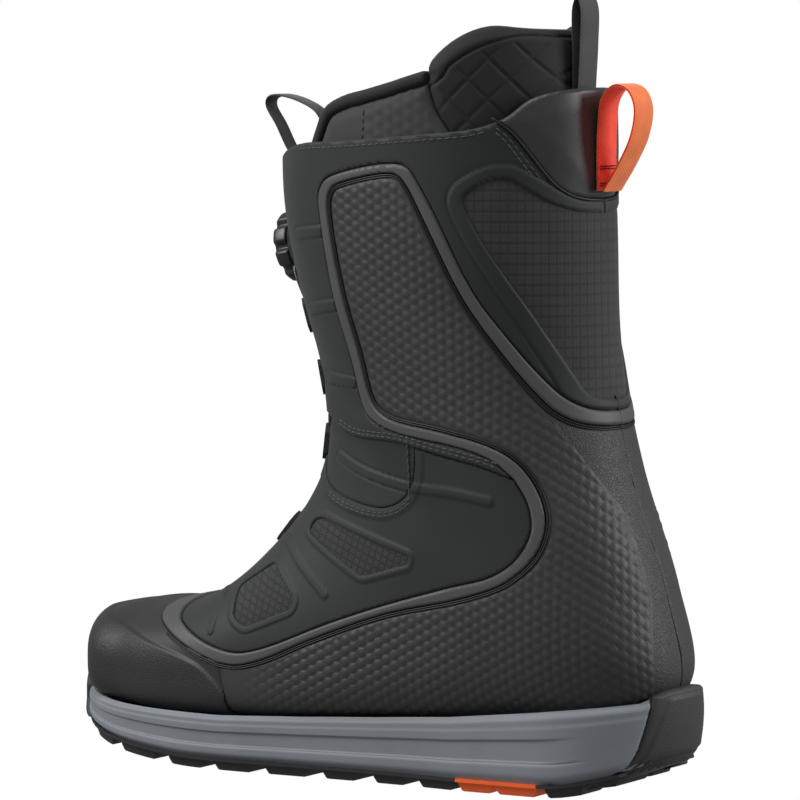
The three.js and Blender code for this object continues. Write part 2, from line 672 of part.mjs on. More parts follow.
function knobShape() {
  const inner = cupRadius + runningGap;
  const chamfer = 1.6;
  const recess = screwHeadRadius + runningGap;
  const body = turned([
    [inner, knobLow], [dialRadius, knobLow], [dialRadius, knobHigh - chamfer],
    [dialRadius - chamfer, knobHigh], [recess, knobHigh], [recess, knobHigh - screwHeadHeight],
    [axleRadius, knobHigh - screwHeadHeight], [axleRadius, knobCeiling], [inner, knobCeiling],
    [inner, knobLow],
  ], 24);
  const notch = new THREE.CylinderGeometry(1.3, 1.3, dialHeight * 2, 6);
  notch.translate(dialRadius + 1.3 - dialNotchDepth, knobLow, 0);
  const cuts = Array.from({ length: dialNotches }, (_, i) => (
    toSolid(notch.clone().rotateY(2 * Math.PI * (i + 0.5) / dialNotches))
  ));
  return cuts.reduce((solid, cut) => solid.subtract(cut), body);
}

function dialScrewShape() {
  const low = knobHigh - screwHeadHeight + gap;
  const shank = axleRadius - gap;
  const foot = knobCeiling - dialTravel + knobClear;
  return turned([
    [0, foot], [shank, foot], [shank, low],
    [screwHeadRadius, low], [screwHeadRadius, knobHigh], [0, knobHigh],
  ], 16);
}

// ---------------------------------------------------------------- cable and guides
// A guide lies on the tongue beside the cuff's edge and turns the cable back.
function guideFrame(s, angle, side) {
  const at = (ds, turn) => formPoint(s + ds, side * (angle + turn), stiffenerTop);
  const along = at(0.01, 0).sub(at(-0.01, 0)).normalize();
  const sideways = at(0, 0.05).sub(at(0, -0.05)).normalize();
  const out = new THREE.Vector3().crossVectors(along, sideways).multiplyScalar(-side).normalize();
  sideways.crossVectors(out, along).multiplyScalar(-side).normalize();
  return { origin: at(0, 0), along, sideways, out, side };
}

// Tube with a many-sided section along a smooth route through the points.
function sweptTube(points, radius, sides, stepsPerPoint) {
  const section = new THREE.Shape();
  for (let i = 0; i < sides; i += 1) {
    const angle = 2 * Math.PI * (i + 0.5) / sides;
    const corner = [radius * Math.cos(angle), radius * Math.sin(angle)];
    if (i === 0) section.moveTo(...corner);
    else section.lineTo(...corner);
  }
  const extrudePath = new THREE.CatmullRomCurve3(points, false, 'centripetal');
  const steps = Math.round((points.length - 1) * stepsPerPoint);
  return toSolid(new THREE.ExtrudeGeometry(section, { steps, bevelEnabled: false, extrudePath }));
}

// Points of the cable's half turn inside a guide, from its upper mouth to its lower.
function guideTurnPoints(frame) {
  const deep = guideWidth / 2 - cableRadius - 1.2;
  const mouth = -guideWidth / 2 - 1;
  const route = [
    [guideTurn, mouth], [guideTurn, -0.5], [guideTurn * 0.7, deep * 0.75], [0, deep],
    [-guideTurn * 0.7, deep * 0.75], [-guideTurn, -0.5], [-guideTurn, mouth],
  ];
  return route.map(([up, sideways]) => frame.origin.clone()
    .addScaledVector(frame.along, up)
    .addScaledVector(frame.sideways, sideways)
    .addScaledVector(frame.out, cableLift + cableRadius));
}

function guideShape(frame) {
  const half = guideLength / 2;
  const edge = guideWidth / 2;
  const bevel = 3;
  const outline = [
    [-half, -edge], [half, -edge], [half, edge - bevel], [half - bevel, edge],
    [-half + bevel, edge], [-half, edge - bevel],
  ];
  const place = new THREE.Matrix4().makeBasis(
    frame.along.clone().multiplyScalar(-frame.side),
    frame.sideways,
    frame.out,
  );
  const geometry = extruded(outline, -guideThickness, guideThickness);
  const body = toSolid(geometry.applyMatrix4(place.setPosition(frame.origin)));
  return body
    .subtract(form(stiffenerTop - gap))
    .subtract(sweptTube(guideTurnPoints(frame), cableRadius + channelClear, 6, 1.2));
}

const dialPoint = (angle, radius, height) => new THREE.Vector3(
  radius * Math.cos(angle),
  height,
  radius * Math.sin(angle),
).applyQuaternion(dialTurn).add(dialFoot);

// Route over the tongue between two guides; the strand named high passes over the other.
function crossing(from, to, high) {
  return [0.25, 0.5, 0.75].map((share) => {
    const lift = cableRadius + cableSlack + (share === 0.5 && high ? 2 * cableRadius + gap : 0);
    return formPoint(
      THREE.MathUtils.lerp(from.s, to.s, share),
      THREE.MathUtils.lerp(from.turn, to.turn, share),
      stiffenerTop - lift,
    );
  });
}

function strand(firstSide, high) {
  const angle = firstSide > 0 ? portAngle : Math.PI - portAngle;
  const radii = [cupInner + gap, cupRadius + 2, dialFlange + 1];
  const points = radii.map((radius) => dialPoint(angle, radius, portHeight));
  guideStations.forEach((s, i) => {
    const side = i % 2 === 0 ? firstSide : -firstSide;
    points.push(...guideTurnPoints(guideFrame(s, guideAngles[i], side)));
    if (i < guideStations.length - 1) {
      const next = { s: guideStations[i + 1] + mouthReach, turn: -side * guideAngles[i + 1] * 0.6 };
      points.push(...crossing({ s: s - mouthReach, turn: side * guideAngles[i] * 0.6 }, next, high));
    }
  });
  return points;
}

function cableShape() {
  const foot = guideStations[guideStations.length - 1] - mouthReach;
  const depth = stiffenerTop - cableRadius - cableSlack;
  const across = [0.12, 0, -0.12].map((turn) => formPoint(foot, -turn, depth));
  const route = [...strand(1, false), ...across, ...strand(-1, true).reverse()];
  return sweptTube(route, cableRadius, 5, 1.2);
}

// ---------------------------------------------------------------- webbing pulls
// Flat webbing folded along a side-view line and as wide as width in x.
function ribbon(points, thickness, width) {
  const line = smooth(points, 2);
  const sideLine = (offset) => line.map((point, i) => {
    const before = line[Math.max(i - 1, 0)];
    const after = line[Math.min(i + 1, line.length - 1)];
    const run = Math.hypot(after[0] - before[0], after[1] - before[1]);
    return [
      point[0] - offset * (after[1] - before[1]) / run,
      point[1] + offset * (after[0] - before[0]) / run,
    ];
  });
  const outline = [...sideLine(thickness / 2), ...sideLine(-thickness / 2).reverse()];
  return sidePrism(outline, -width / 2, width / 2);
}

const [heelY, heelZ] = sectionAt(heelPullStation, 0).heel;
const heelPull = ribbon([
  [1.3, 0], [1.2, 14], [1.6, 28], [3.2, 38], [8.5, 43.5], [15, 42], [18.6, 35], [17, 23], [11, 11],
  [3.8, 0],
].map(([y, z]) => [heelY + y, heelZ + z]), pullThickness, pullWidth);

const { y: linerBackY, z: linerBackZ } = formPoint(linerPullStation, Math.PI, linerOut);
const linerPull = ribbon([
  [1.3, 0], [1.3, 12], [1.1, 28], [1.2, 43], [3, 47], [4.9, 43], [4.9, 28], [4, 12], [3.5, 0],
].map(([y, z]) => [linerBackY + pullClear + y, linerBackZ + z]), pullThickness, pullWidth);

const [tongueY, tongueZ] = sectionAt(tonguePullStation, stiffenerTop).shin;
const tongueRimZ = gradeZ(264);   // just over the rim of the inner boot's tongue
const tonguePull = ribbon([
  [-1.2, 0], [-6.8, 6], [-12.8, 16.5], [-18.3, 25.5], [-17.3, 28.5], [-11.8, 29.5], [-0.8, 27],
  [8, 22], [11.5, 14], [9.5, 4], [9, -1],
].map(([y, z]) => [tongueY + y, tongueZ + z]), tonguePullThickness, tonguePullWidth)
  .subtract(form(linerOut - gap).intersect(block([-reach, -reach, 0], [reach, 0, tongueRimZ])))
  .subtract(tongue);

// ---------------------------------------------------------------- finishes
function finish(color, roughness, metalness = 0) {
  return new THREE.MeshStandardMaterial({ color, roughness, metalness });
}
const finishes = {
  grained: finish(0x3b3c3e, 0.6),
  honeycomb: finish(0x3a3b3c, 0.5),
  smooth: finish(0x2a2d2c, 0.55),
  woven: finish(0x333333, 0.8),
  satin: finish(0x34363a, 0.35),
  foam: finish(0x62676f, 0.7),
  rubber: finish(0x1b1b1c, 0.8),
  orangeRubber: finish(0xe0481c, 0.6),
  orangeWebbing: finish(0xe8622c, 0.8),
  webbing: finish(0x3a3c3e, 0.8),
  linerGrey: finish(0x444548, 0.8),
  linerBlack: finish(0x161617, 0.85),
  stiff: finish(0x222224, 0.5),
  dial: finish(0x202124, 0.45),
  steel: finish(0x9a9ca0, 0.3, 1),
};

// ---------------------------------------------------------------- assembly
const boot = new THREE.Group();
function add(name, solid, material) {
  const mesh = new THREE.Mesh(toGeometry(solid), material);
  mesh.name = name;
  boot.add(mesh);
  return mesh;
}

function addBothSides(name, solid, material) {
  add(`${name}_outer`, solid.intersect(halves.outer), material);
  add(`${name}_inner`, solid.intersect(halves.inner), material);
}

add('outsole_front', outsoleFront, finishes.rubber);
add('outsole_insert', outsoleInsert, finishes.orangeRubber);
add('outsole_heel', outsoleHeel, finishes.rubber);
add('midsole', midsole, finishes.foam);
add('toe_bumper', toeBumper, finishes.rubber);
add('toe_cap', toeCap, finishes.grained);
addBothSides('quarter', quarterSkin, finishes.honeycomb);
addBothSides('seam_band', bandSkin, finishes.grained);
add('vamp', vampSkin, finishes.smooth);
addBothSides('upper_window', piece(windowSkin, upperWindow), finishes.woven);
addBothSides('lower_window', piece(windowSkin, lowerWindow), finishes.woven);
addBothSides('ankle_strap', piece(shellSkin, strapOutline), finishes.smooth);
addBothSides('cuff', cuffSkin, finishes.smooth);
add('rear_panel', rearPanel, finishes.woven);
add('collar', collar, finishes.satin);
add('heel_counter', heelCounter, finishes.stiff);
add('toe_puff', toePuff, finishes.stiff);
add('spine', spine, finishes.stiff);
add('lasting_board', lastingBoard, finishes.stiff);
add('tongue', tongue, finishes.smooth);
add('liner_front', linerFront, finishes.linerBlack);
add('liner_heel', linerHeel, finishes.linerBlack);
add('liner_shaft', linerShaft, finishes.linerGrey);
add('liner_tongue', linerTongue, finishes.linerGrey);
add('liner_binding', linerBinding, finishes.linerBlack);
add('liner_collar', linerCollar, finishes.linerBlack);
add('footbed', footbedShape(), finishes.linerGrey);
add('heel_pull', heelPull, finishes.orangeWebbing);
add('liner_pull', linerPull, finishes.webbing);
add('tongue_pull', tonguePull, finishes.webbing);
add('dial_base', placedOnDial(dialBaseShape()).subtract(form(shellWall)), finishes.dial);
add('cable_spool', placedOnDial(spoolShape()), finishes.dial);
add('cable_winding', placedOnDial(windingShape()), finishes.steel);
add('dial_drive', placedOnDial(driveDiscShape()), finishes.dial);
add('dial_knob', placedOnDial(knobShape()), finishes.dial);
add('dial_screw', placedOnDial(dialScrewShape()), finishes.steel);
add('lace_cable', cableShape(), finishes.steel);
guideStations.forEach((s, i) => {
  add(`cable_guide_outer_${i + 1}`, guideShape(guideFrame(s, guideAngles[i], 1)), finishes.dial);
  add(`cable_guide_inner_${i + 1}`, guideShape(guideFrame(s, guideAngles[i], -1)), finishes.dial);
});

export default boot;
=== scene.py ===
"""Looks of a soft snowboard boot with a dial and a steel cable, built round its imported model.

Shapes are worked out in millimetres and turned into metres where a mesh is made.
+Z is up, the toe points along -Y and +X is the outer side of this left boot.
"""

import json
import math

import bpy
import numpy as np
from mathutils import Matrix, Vector, geometry


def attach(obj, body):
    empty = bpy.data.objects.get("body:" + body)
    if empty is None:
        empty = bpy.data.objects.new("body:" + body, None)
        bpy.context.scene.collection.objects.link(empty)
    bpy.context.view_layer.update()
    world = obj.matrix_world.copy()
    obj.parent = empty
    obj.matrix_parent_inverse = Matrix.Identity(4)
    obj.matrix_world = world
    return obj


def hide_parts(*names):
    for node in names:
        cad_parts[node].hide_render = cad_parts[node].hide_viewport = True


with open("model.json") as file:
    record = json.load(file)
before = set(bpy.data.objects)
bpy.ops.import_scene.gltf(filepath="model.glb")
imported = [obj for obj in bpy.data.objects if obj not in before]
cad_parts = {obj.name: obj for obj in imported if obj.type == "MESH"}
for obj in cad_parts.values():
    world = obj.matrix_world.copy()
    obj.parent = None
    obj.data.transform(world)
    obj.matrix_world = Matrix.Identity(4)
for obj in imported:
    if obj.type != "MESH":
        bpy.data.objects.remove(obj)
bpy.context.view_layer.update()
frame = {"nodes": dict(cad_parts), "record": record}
MM = 0.001

# ---------------------------------------------------------------- camera and light
CAMERA_AZIMUTH = 122.5
CAMERA_ELEVATION = 4.5
CAMERA_DISTANCE = 2.0
CAMERA_CLIP_END = 20
CAMERA_TARGET = Vector((0, 0, 0.165))
CAMERA_SLIDE = 0.0032
CAMERA_DROP = 0.0073
CAMERA_LENS = 209.7
LIGHT_TARGET = Vector((0, 0, 0.15))
ROOM_LIGHT = 0.27
LIGHTS = (
    # name, azimuth, elevation, distance, size, power
    ("front_light", 45, 35, 1.4, 0.6, 14),
    ("rear_light", 207, 18, 1.2, 0.5, 7),
    ("top_light", 100, 75, 1.3, 0.8, 7),
)


def turned_axes(azimuth, elevation):
    """Right, up and back vectors of a view."""
    a = math.radians(azimuth)
    e = math.radians(elevation)
    right = Vector((math.cos(a), math.sin(a), 0))
    back = Vector((math.sin(a) * math.cos(e), -math.cos(a) * math.cos(e), math.sin(e)))
    return right, back.cross(right), back


def make_camera():
    right, up, back = turned_axes(CAMERA_AZIMUTH, CAMERA_ELEVATION)
    data = bpy.data.cameras.new("camera")
    data.lens = CAMERA_LENS
    data.clip_end = CAMERA_CLIP_END
    camera = bpy.data.objects.new("camera", data)
    place = CAMERA_TARGET + back * CAMERA_DISTANCE + right * CAMERA_SLIDE - up * CAMERA_DROP
    camera.matrix_world = Matrix.Translation(place) @ Matrix((right, up, back)).transposed().to_4x4()
    bpy.context.scene.collection.objects.link(camera)
    bpy.context.scene.camera = camera


def area_light(name, azimuth, elevation, distance, size, power):
    """Square soft light that looks at the middle of the boot."""
    right, up, back = turned_axes(azimuth, elevation)
    data = bpy.data.lights.new(name, "AREA")
    data.shape = "SQUARE"
    data.size = size
    data.energy = power
    lamp = bpy.data.objects.new(name, data)
    place = LIGHT_TARGET + back * distance
    lamp.matrix_world = Matrix.Translation(place) @ Matrix((right, up, back)).transposed().to_4x4()
    bpy.context.scene.collection.objects.link(lamp)


def make_studio():
    bpy.context.scene.view_settings.view_transform = "Standard"
    world = bpy.data.worlds.new("studio")
    world.use_nodes = True
    tree = world.node_tree
    sky = tree.nodes["Background"]
    sky.inputs["Color"].default_value = (1, 1, 1, 1)
    seen = tree.nodes.new("ShaderNodeLightPath").outputs["Is Camera Ray"]
    strength = tree.nodes.new("ShaderNodeMapRange")
    strength.inputs["To Min"].default_value = ROOM_LIGHT
    strength.inputs["To Max"].default_value = 1.0
    tree.links.new(seen, strength.inputs["Value"])
    tree.links.new(strength.outputs["Result"], sky.inputs["Strength"])
    bpy.context.scene.world = world
    for light in LIGHTS:
        area_light(*light)


make_camera()
make_studio()

# ---------------------------------------------------------------- the form of the boot
# Each section runs from a point on the sole-and-heel line to one on the instep-and-shin line.
SECTIONS = np.array([
    # s, heel line y, z, shin line y, z, half width, height of widest, powers, sideways
    [0.00, -149, 37, -149.5, 45, 7, 0.50, 2.2, 2.4, -9],
    [0.025, -146, 29, -146, 58, 25, 0.47, 2.5, 3.0, -9],
    [0.07, -134, 25, -134, 63, 46, 0.42, 2.7, 4.0, -8],
    [0.15, -110, 22, -110, 65.5, 52.5, 0.38, 2.7, 5.0, -6],
    [0.24, -76, 21, -81, 72.5, 55, 0.36, 2.5, 5.0, -3],
    [0.33, -35, 22, -58, 88, 53, 0.34, 2.3, 5.0, 0],
    [0.42, 20, 25, -37.5, 113, 48, 0.34, 2.1, 4.5, 2],
    [0.51, 80, 28, -26.5, 139.5, 46, 0.38, 2.1, 3.6, 2],
    [0.58, 126, 31, -27, 160, 46, 0.42, 2.1, 2.8, 2],
    [0.63, 143, 47, -30, 173.5, 46, 0.44, 2.1, 2.4, 1.5],
    [0.68, 136.5, 80, -33, 185, 47, 0.46, 2.1, 2.2, 1],
    [0.76, 118.5, 131, -37.5, 203, 49, 0.48, 2.2, 2.1, 0],
    [0.84, 108, 180, -43, 225, 52, 0.48, 2.2, 2.0, 0],
    [0.92, 105, 231, -46.5, 251, 55, 0.48, 2.2, 2.0, 0],
    [1.00, 103, 293, -46, 282, 56, 0.48, 2.2, 2.0, 0],
    [1.10, 101, 335, -43, 318, 55, 0.48, 2.2, 2.0, 0],
])
LAST_SECTION = SECTIONS[-1, 0]
LINER_DEPTH = 4.3
LINER_WALL = 5.0
LINER_LEAN = 8.0


def section_slopes():
    step = np.diff(SECTIONS[:, 0])[:, None]
    rise = np.diff(SECTIONS, axis=0) / step
    slopes = np.empty_like(SECTIONS)
    slopes[1:-1] = (step[1:] * rise[:-1] + step[:-1] * rise[1:]) / (step[1:] + step[:-1])
    slopes[0] = rise[0] + (rise[0] - slopes[1]) / 2
    slopes[-1] = rise[-1] + (rise[-1] - slopes[-2]) / 2
    return slopes


SLOPES = section_slopes()


def section_at(s):
    """Smooth values of every column of the section table, one row for each s."""
    s = np.clip(np.asarray(s, float), 0, LAST_SECTION)
    i = np.clip(np.searchsorted(SECTIONS[:, 0], s, side="right") - 1, 0, len(SECTIONS) - 2)
    h = (SECTIONS[i + 1, 0] - SECTIONS[i, 0])[:, None]
    u = ((s - SECTIONS[i, 0]) / h[:, 0])[:, None]
    return (
        SECTIONS[i] * (2 * u ** 3 - 3 * u ** 2 + 1)
        + h * SLOPES[i] * (u ** 3 - 2 * u ** 2 + u)
        + SECTIONS[i + 1] * (-2 * u ** 3 + 3 * u ** 2)
        + h * SLOPES[i + 1] * (u ** 3 - u ** 2)
    )


def smooth_step(value, low, high):
    share = np.clip((value - low) / (high - low), 0, 1)
    return share * share * (3 - 2 * share)


def form_points(s, turn, depth=0.0):
    """Points of the form; turn 0 is the middle of the shin and pi the middle of the heel."""
    s = np.asarray(s, float)
    turn = np.asarray(turn, float)
    row = section_at(s)
    probe = 0.002
    change = section_at(np.minimum(s + probe, LAST_SECTION)) - section_at(np.maximum(s - probe, 0))
    heel_run = np.hypot(change[:, 1], change[:, 2])
    shin_run = np.hypot(change[:, 3], change[:, 4])
    middle_run = np.hypot(change[:, 1] + change[:, 3], change[:, 2] + change[:, 4]) / 2
    flank = middle_run / np.hypot(middle_run, change[:, 5])
    heel_y = row[:, 1] - depth * change[:, 2] / heel_run
    heel_z = row[:, 2] + depth * change[:, 1] / heel_run
    shin_y = row[:, 3] + depth * change[:, 4] / shin_run
    shin_z = row[:, 4] - depth * change[:, 3] / shin_run
    width = row[:, 5] - depth * flank
    cos = np.cos(turn)
    sin = np.sin(turn)
    power = np.where(cos >= 0, row[:, 7], row[:, 8])
    radius = (np.abs(cos) ** power + np.abs(sin) ** power) ** (-1 / power)
    away = radius * np.abs(cos)
    share = np.where(cos >= 0, row[:, 6] + (1 - row[:, 6]) * away, row[:, 6] * (1 - away))
    lean = LINER_LEAN * smooth_step(s, 0.9, 1) * (depth > LINER_DEPTH - 0.15)
    return np.stack([
        row[:, 9] + width * radius * sin,
        heel_y + share * (shin_y - heel_y) - np.where(cos < 0, lean * away, 0),
        heel_z + share * (shin_z - heel_z),
    ], axis=1)


def form_normals(s, turn, depth=0.0):
    """Outward unit normals of the form."""
    probe_s = 0.0008
    probe_turn = 0.004
    rise = form_points(s + probe_s, turn, depth) - form_points(np.maximum(s - probe_s, 0), turn, depth)
    round_it = form_points(s, turn + probe_turn, depth) - form_points(s, turn - probe_turn, depth)
    normal = np.cross(round_it, rise)
    return normal / np.maximum(np.linalg.norm(normal, axis=1, keepdims=True), 1e-9)


# ---------------------------------------------------------------- lines in the side view
def smooth_line(points, between=4, closed=False):
    """Rounded line through the points (centripetal Catmull-Rom)."""
    points = np.asarray(points, float)
    count = len(points)
    spans = count if closed else count - 1
    result = []
    for i in range(spans):
        if closed:
            a, b, c, d = (points[(i + k) % count] for k in (-1, 0, 1, 2))
        else:
            b, c = points[i], points[i + 1]
            a = points[i - 1] if i > 0 else 2 * b - c
            d = points[i + 2] if i + 2 < count else 2 * c - b
        t0 = 0.0
        t1 = t0 + max(np.linalg.norm(b - a), 1e-6) ** 0.5
        t2 = t1 + max(np.linalg.norm(c - b), 1e-6) ** 0.5
        t3 = t2 + max(np.linalg.norm(d - c), 1e-6) ** 0.5
        for t in np.linspace(t1, t2, between, endpoint=False):
            ab = (t1 - t) / (t1 - t0) * a + (t - t0) / (t1 - t0) * b
            bc = (t2 - t) / (t2 - t1) * b + (t - t1) / (t2 - t1) * c
            cd = (t3 - t) / (t3 - t2) * c + (t - t2) / (t3 - t2) * d
            abc = (t2 - t) / (t2 - t0) * ab + (t - t0) / (t2 - t0) * bc
            bcd = (t3 - t) / (t3 - t1) * bc + (t - t1) / (t3 - t1) * cd
            result.append((t2 - t) / (t2 - t1) * abc + (t - t1) / (t2 - t1) * bcd)
    if not closed:
        result.append(points[-1])
    return np.array(result)


def rounded(points, radius, steps=5):
    """Closed outline with every corner cut by a curve that starts radius before it."""
    points = np.asarray(points, float)
    result = []
    for i, corner in enumerate(points):
        before = points[i - 1] - corner
        after = points[(i + 1) % len(points)] - corner
        reach = min(radius, 0.45 * np.linalg.norm(before), 0.45 * np.linalg.norm(after))
        start = corner + before / np.linalg.norm(before) * reach
        end = corner + after / np.linalg.norm(after) * reach
        for u in np.linspace(0, 1, steps):
            result.append((1 - u) ** 2 * start + 2 * u * (1 - u) * corner + u ** 2 * end)
    return np.array(result)


def resampled(line, step):
    """Points at equal steps along a line, and the length along it of each."""
    line = np.asarray(line, float)
    lengths = np.concatenate([[0], np.cumsum(np.linalg.norm(np.diff(line, axis=0), axis=1))])
    count = max(int(round(lengths[-1] / step)), 2)
    places = np.linspace(0, lengths[-1], count + 1)
    return np.stack([np.interp(places, lengths, line[:, k]) for k in range(line.shape[1])], axis=1), places


NEARBY = 12.0    # distances beyond this from an outline aren't worked out


def distance_to(line, points, closed=False):
    """Distance of 2D points from a line, positive inside a closed one."""
    if closed and len(points) > 1000:
        low, high = line.min(0) - NEARBY, line.max(0) + NEARBY
        near = ((points > low) & (points < high)).all(1)
        if near.sum() < 0.7 * len(points):
            distance = np.full(len(points), -NEARBY)
            distance[near] = distance_to(line, points[near], closed)
            return distance
    best = np.full(len(points), 1e12)
    inside = np.zeros(len(points), bool)
    count = len(line) if closed else len(line) - 1
    for i in range(count):
        start = line[i]
        run = line[(i + 1) % len(line)] - start
        length = max(run @ run, 1e-12)
        offset = points - start
        share = np.clip(offset @ run / length, 0, 1)
        offset -= share[:, None] * run
        best = np.minimum(best, np.einsum("ij,ij->i", offset, offset))
        if closed and run[1] != 0:
            level = (points[:, 1] - start[1]) / run[1]
            inside ^= (level >= 0) & (level < 1) & (points[:, 0] < start[0] + level * run[0])
    distance = np.sqrt(best)
    if closed:
        distance = np.where(inside, distance, -distance)
    return distance


VAMP_LINE = smooth_line([
    [-92, 84], [-90, 71], [-85, 64], [-75, 59], [-59, 53], [-46, 51], [-32, 54], [-2, 66],
    [27, 76], [58, 85], [79, 91], [90, 99], [95, 110], [93, 121], [87, 131],
])
CUFF_LINE = smooth_line([
    [87, 131], [78, 138], [65, 143], [26, 149.5], [14, 156], [8, 178], [0.5, 203], [-4.5, 237],
    [-5, 247], [-1.5, 253], [7, 256.5], [36, 261], [42.5, 259], [46.5, 253.5], [54, 240], [69, 208],
    [82, 189], [94, 173],
    [102, 164], [110, 159], [125, 157], [150, 157],
])
TOE_LINE = smooth_line([[-106, 84], [-104, 71], [-100, 64], [-86, 57], [-67, 49.5], [-55, 46]])
QUARTER_LINE = smooth_line([
    [-55, 46], [-46, 45.5], [-32, 49], [-10, 58.5], [27, 72], [65, 81], [86, 89], [97.5, 100],
    [100.5, 113], [96, 127], [87, 138.5], [75, 145], [54, 150], [27, 154.5], [19, 160], [13, 181],
    [6, 205], [1, 235], [0.8, 245], [3.5, 250.3], [10, 252.8], [34, 256.8], [38.5, 255.3],
    [42.5, 250.5], [50, 236], [65, 205],
    [79, 184], [91, 168], [100, 158], [109, 153], [125, 151], [150, 151],
])
HEM_LINE = smooth_line([
    [-60, 168], [-14, 152.5], [-5, 148], [5, 145], [32, 144], [54, 140], [73, 136], [87, 131],
])
TOE_SIDE_LINE = np.array([[-55, 46], [-52, 33], [-51, 12]])
SHELL_TOP_LINE = smooth_line([
    [-80, 246], [-50, 253], [-36, 263], [-20, 268], [9, 270], [48, 273], [70, 275.5], [81, 280],
    [89, 287.5], [97, 291], [110, 293], [130, 293],
])
COLLAR_LINE = smooth_line([[75, 281], [83, 274], [90, 263], [97, 251], [103, 246], [120, 244], [150, 244]])
REAR_PANEL = rounded([
    [72.5, 253], [81, 256], [97, 243], [108, 238.5], [150, 238], [150, 162], [108, 163],
    [101, 178], [89, 201], [72, 230], [64, 247],
], 5)
UPPER_WINDOW = rounded([[-19.5, 104], [-17, 108.5], [-11, 109.5], [38, 96.5], [37, 93.5], [14, 87]], 2.5)
LOWER_WINDOW = rounded([[-36, 89.5], [-54, 78.5], [-50, 66], [-43, 62], [-21, 71], [-20, 75]], 2.5)
STRAP = smooth_line([
    [-17, 143], [-16, 128], [-7, 121.5], [7, 117.5], [22, 116], [31, 118.5], [38, 125], [41, 137],
    [40, 145], [32, 147.5], [5, 148.5], [-5, 150.5], [-13, 153],
], closed=True)
RIM_LINE = np.array([
    [-170, 27.8], [-160, 27.5], [-116, 24.8], [-89, 24], [-55, 23.7], [-15, 25.4], [20, 27.5],
    [56, 30.3], [108, 36.6], [138, 39.8], [144, 43.5], [151, 45], [170, 45],
])
GROUND_LINE = smooth_line([
    [-160, 21], [-150, 15], [-140, 10.5], [-126, 6.5], [-108, 3.6], [-90, 1.6], [-76, 0.4],
    [-66, 0], [104, 0], [112, 1], [121, 2.8], [131, 5.4], [142, 9], [152, 14], [160, 19],
], 3)
THROAT_HALF = [[30, 320], [30, 262], [26, 205], [24.5, 170], [24.5, 110], [23, 92], [15, 80], [0, 75]]
THROAT = np.array(THROAT_HALF + [[-x, z] for x, z in reversed(THROAT_HALF[:-1])], float)

FAR = 170.0
TUCK = 6.0    # how far the panels reach down behind the rim of the midsole


TOE_OUTLINE = np.vstack([TOE_LINE, TOE_SIDE_LINE[1:], [[-FAR, 12]], [[-FAR, 84]]])
QUARTER_OUTLINE = np.vstack([QUARTER_LINE, [[FAR, 151]], [[FAR, 12]], TOE_SIDE_LINE[:0:-1]])
BAND_OUTLINE = np.vstack([TOE_LINE, QUARTER_LINE[1:], CUFF_LINE[:0:-1], VAMP_LINE[::-1]])
VAMP_OUTLINE = np.vstack([VAMP_LINE, HEM_LINE[-2::-1], [[-92, 168]]])
CUFF_OUTLINE = np.vstack([HEM_LINE, CUFF_LINE[1:], [[FAR, 157]], [[FAR, 340]], [[-60, 340]]])
SHELL_TOP = np.vstack([SHELL_TOP_LINE, [[FAR, 293]], [[FAR, -50]], [[-200, -50]], [[-200, 246]]])
COLLAR_OUTLINE = np.vstack([COLLAR_LINE, [[FAR, 244]], [[FAR, 340]], [[75, 340]]])

# ---------------------------------------------------------------- mesh helpers
def new_object(name, vertices, faces, material, sharp=math.radians(50)):
    """Object from points in millimetres, smooth where its faces turn by less than sharp."""
    mesh = bpy.data.meshes.new(name)
    mesh.from_pydata((np.asarray(vertices, float) * MM).tolist(), [], faces)
    mesh.validate()
    mesh.update()
    mesh.shade_smooth()
    mesh.set_sharp_from_angle(angle=sharp)
    mesh.materials.append(material)
    piece = bpy.data.objects.new(name, mesh)
    bpy.context.scene.collection.objects.link(piece)
    return piece


def settle(piece, body, nodes=()):
    """Says what a piece rides on and hides the model's nodes that it stands for."""
    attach(piece, body)
    if nodes:
        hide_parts(*nodes)
    return piece


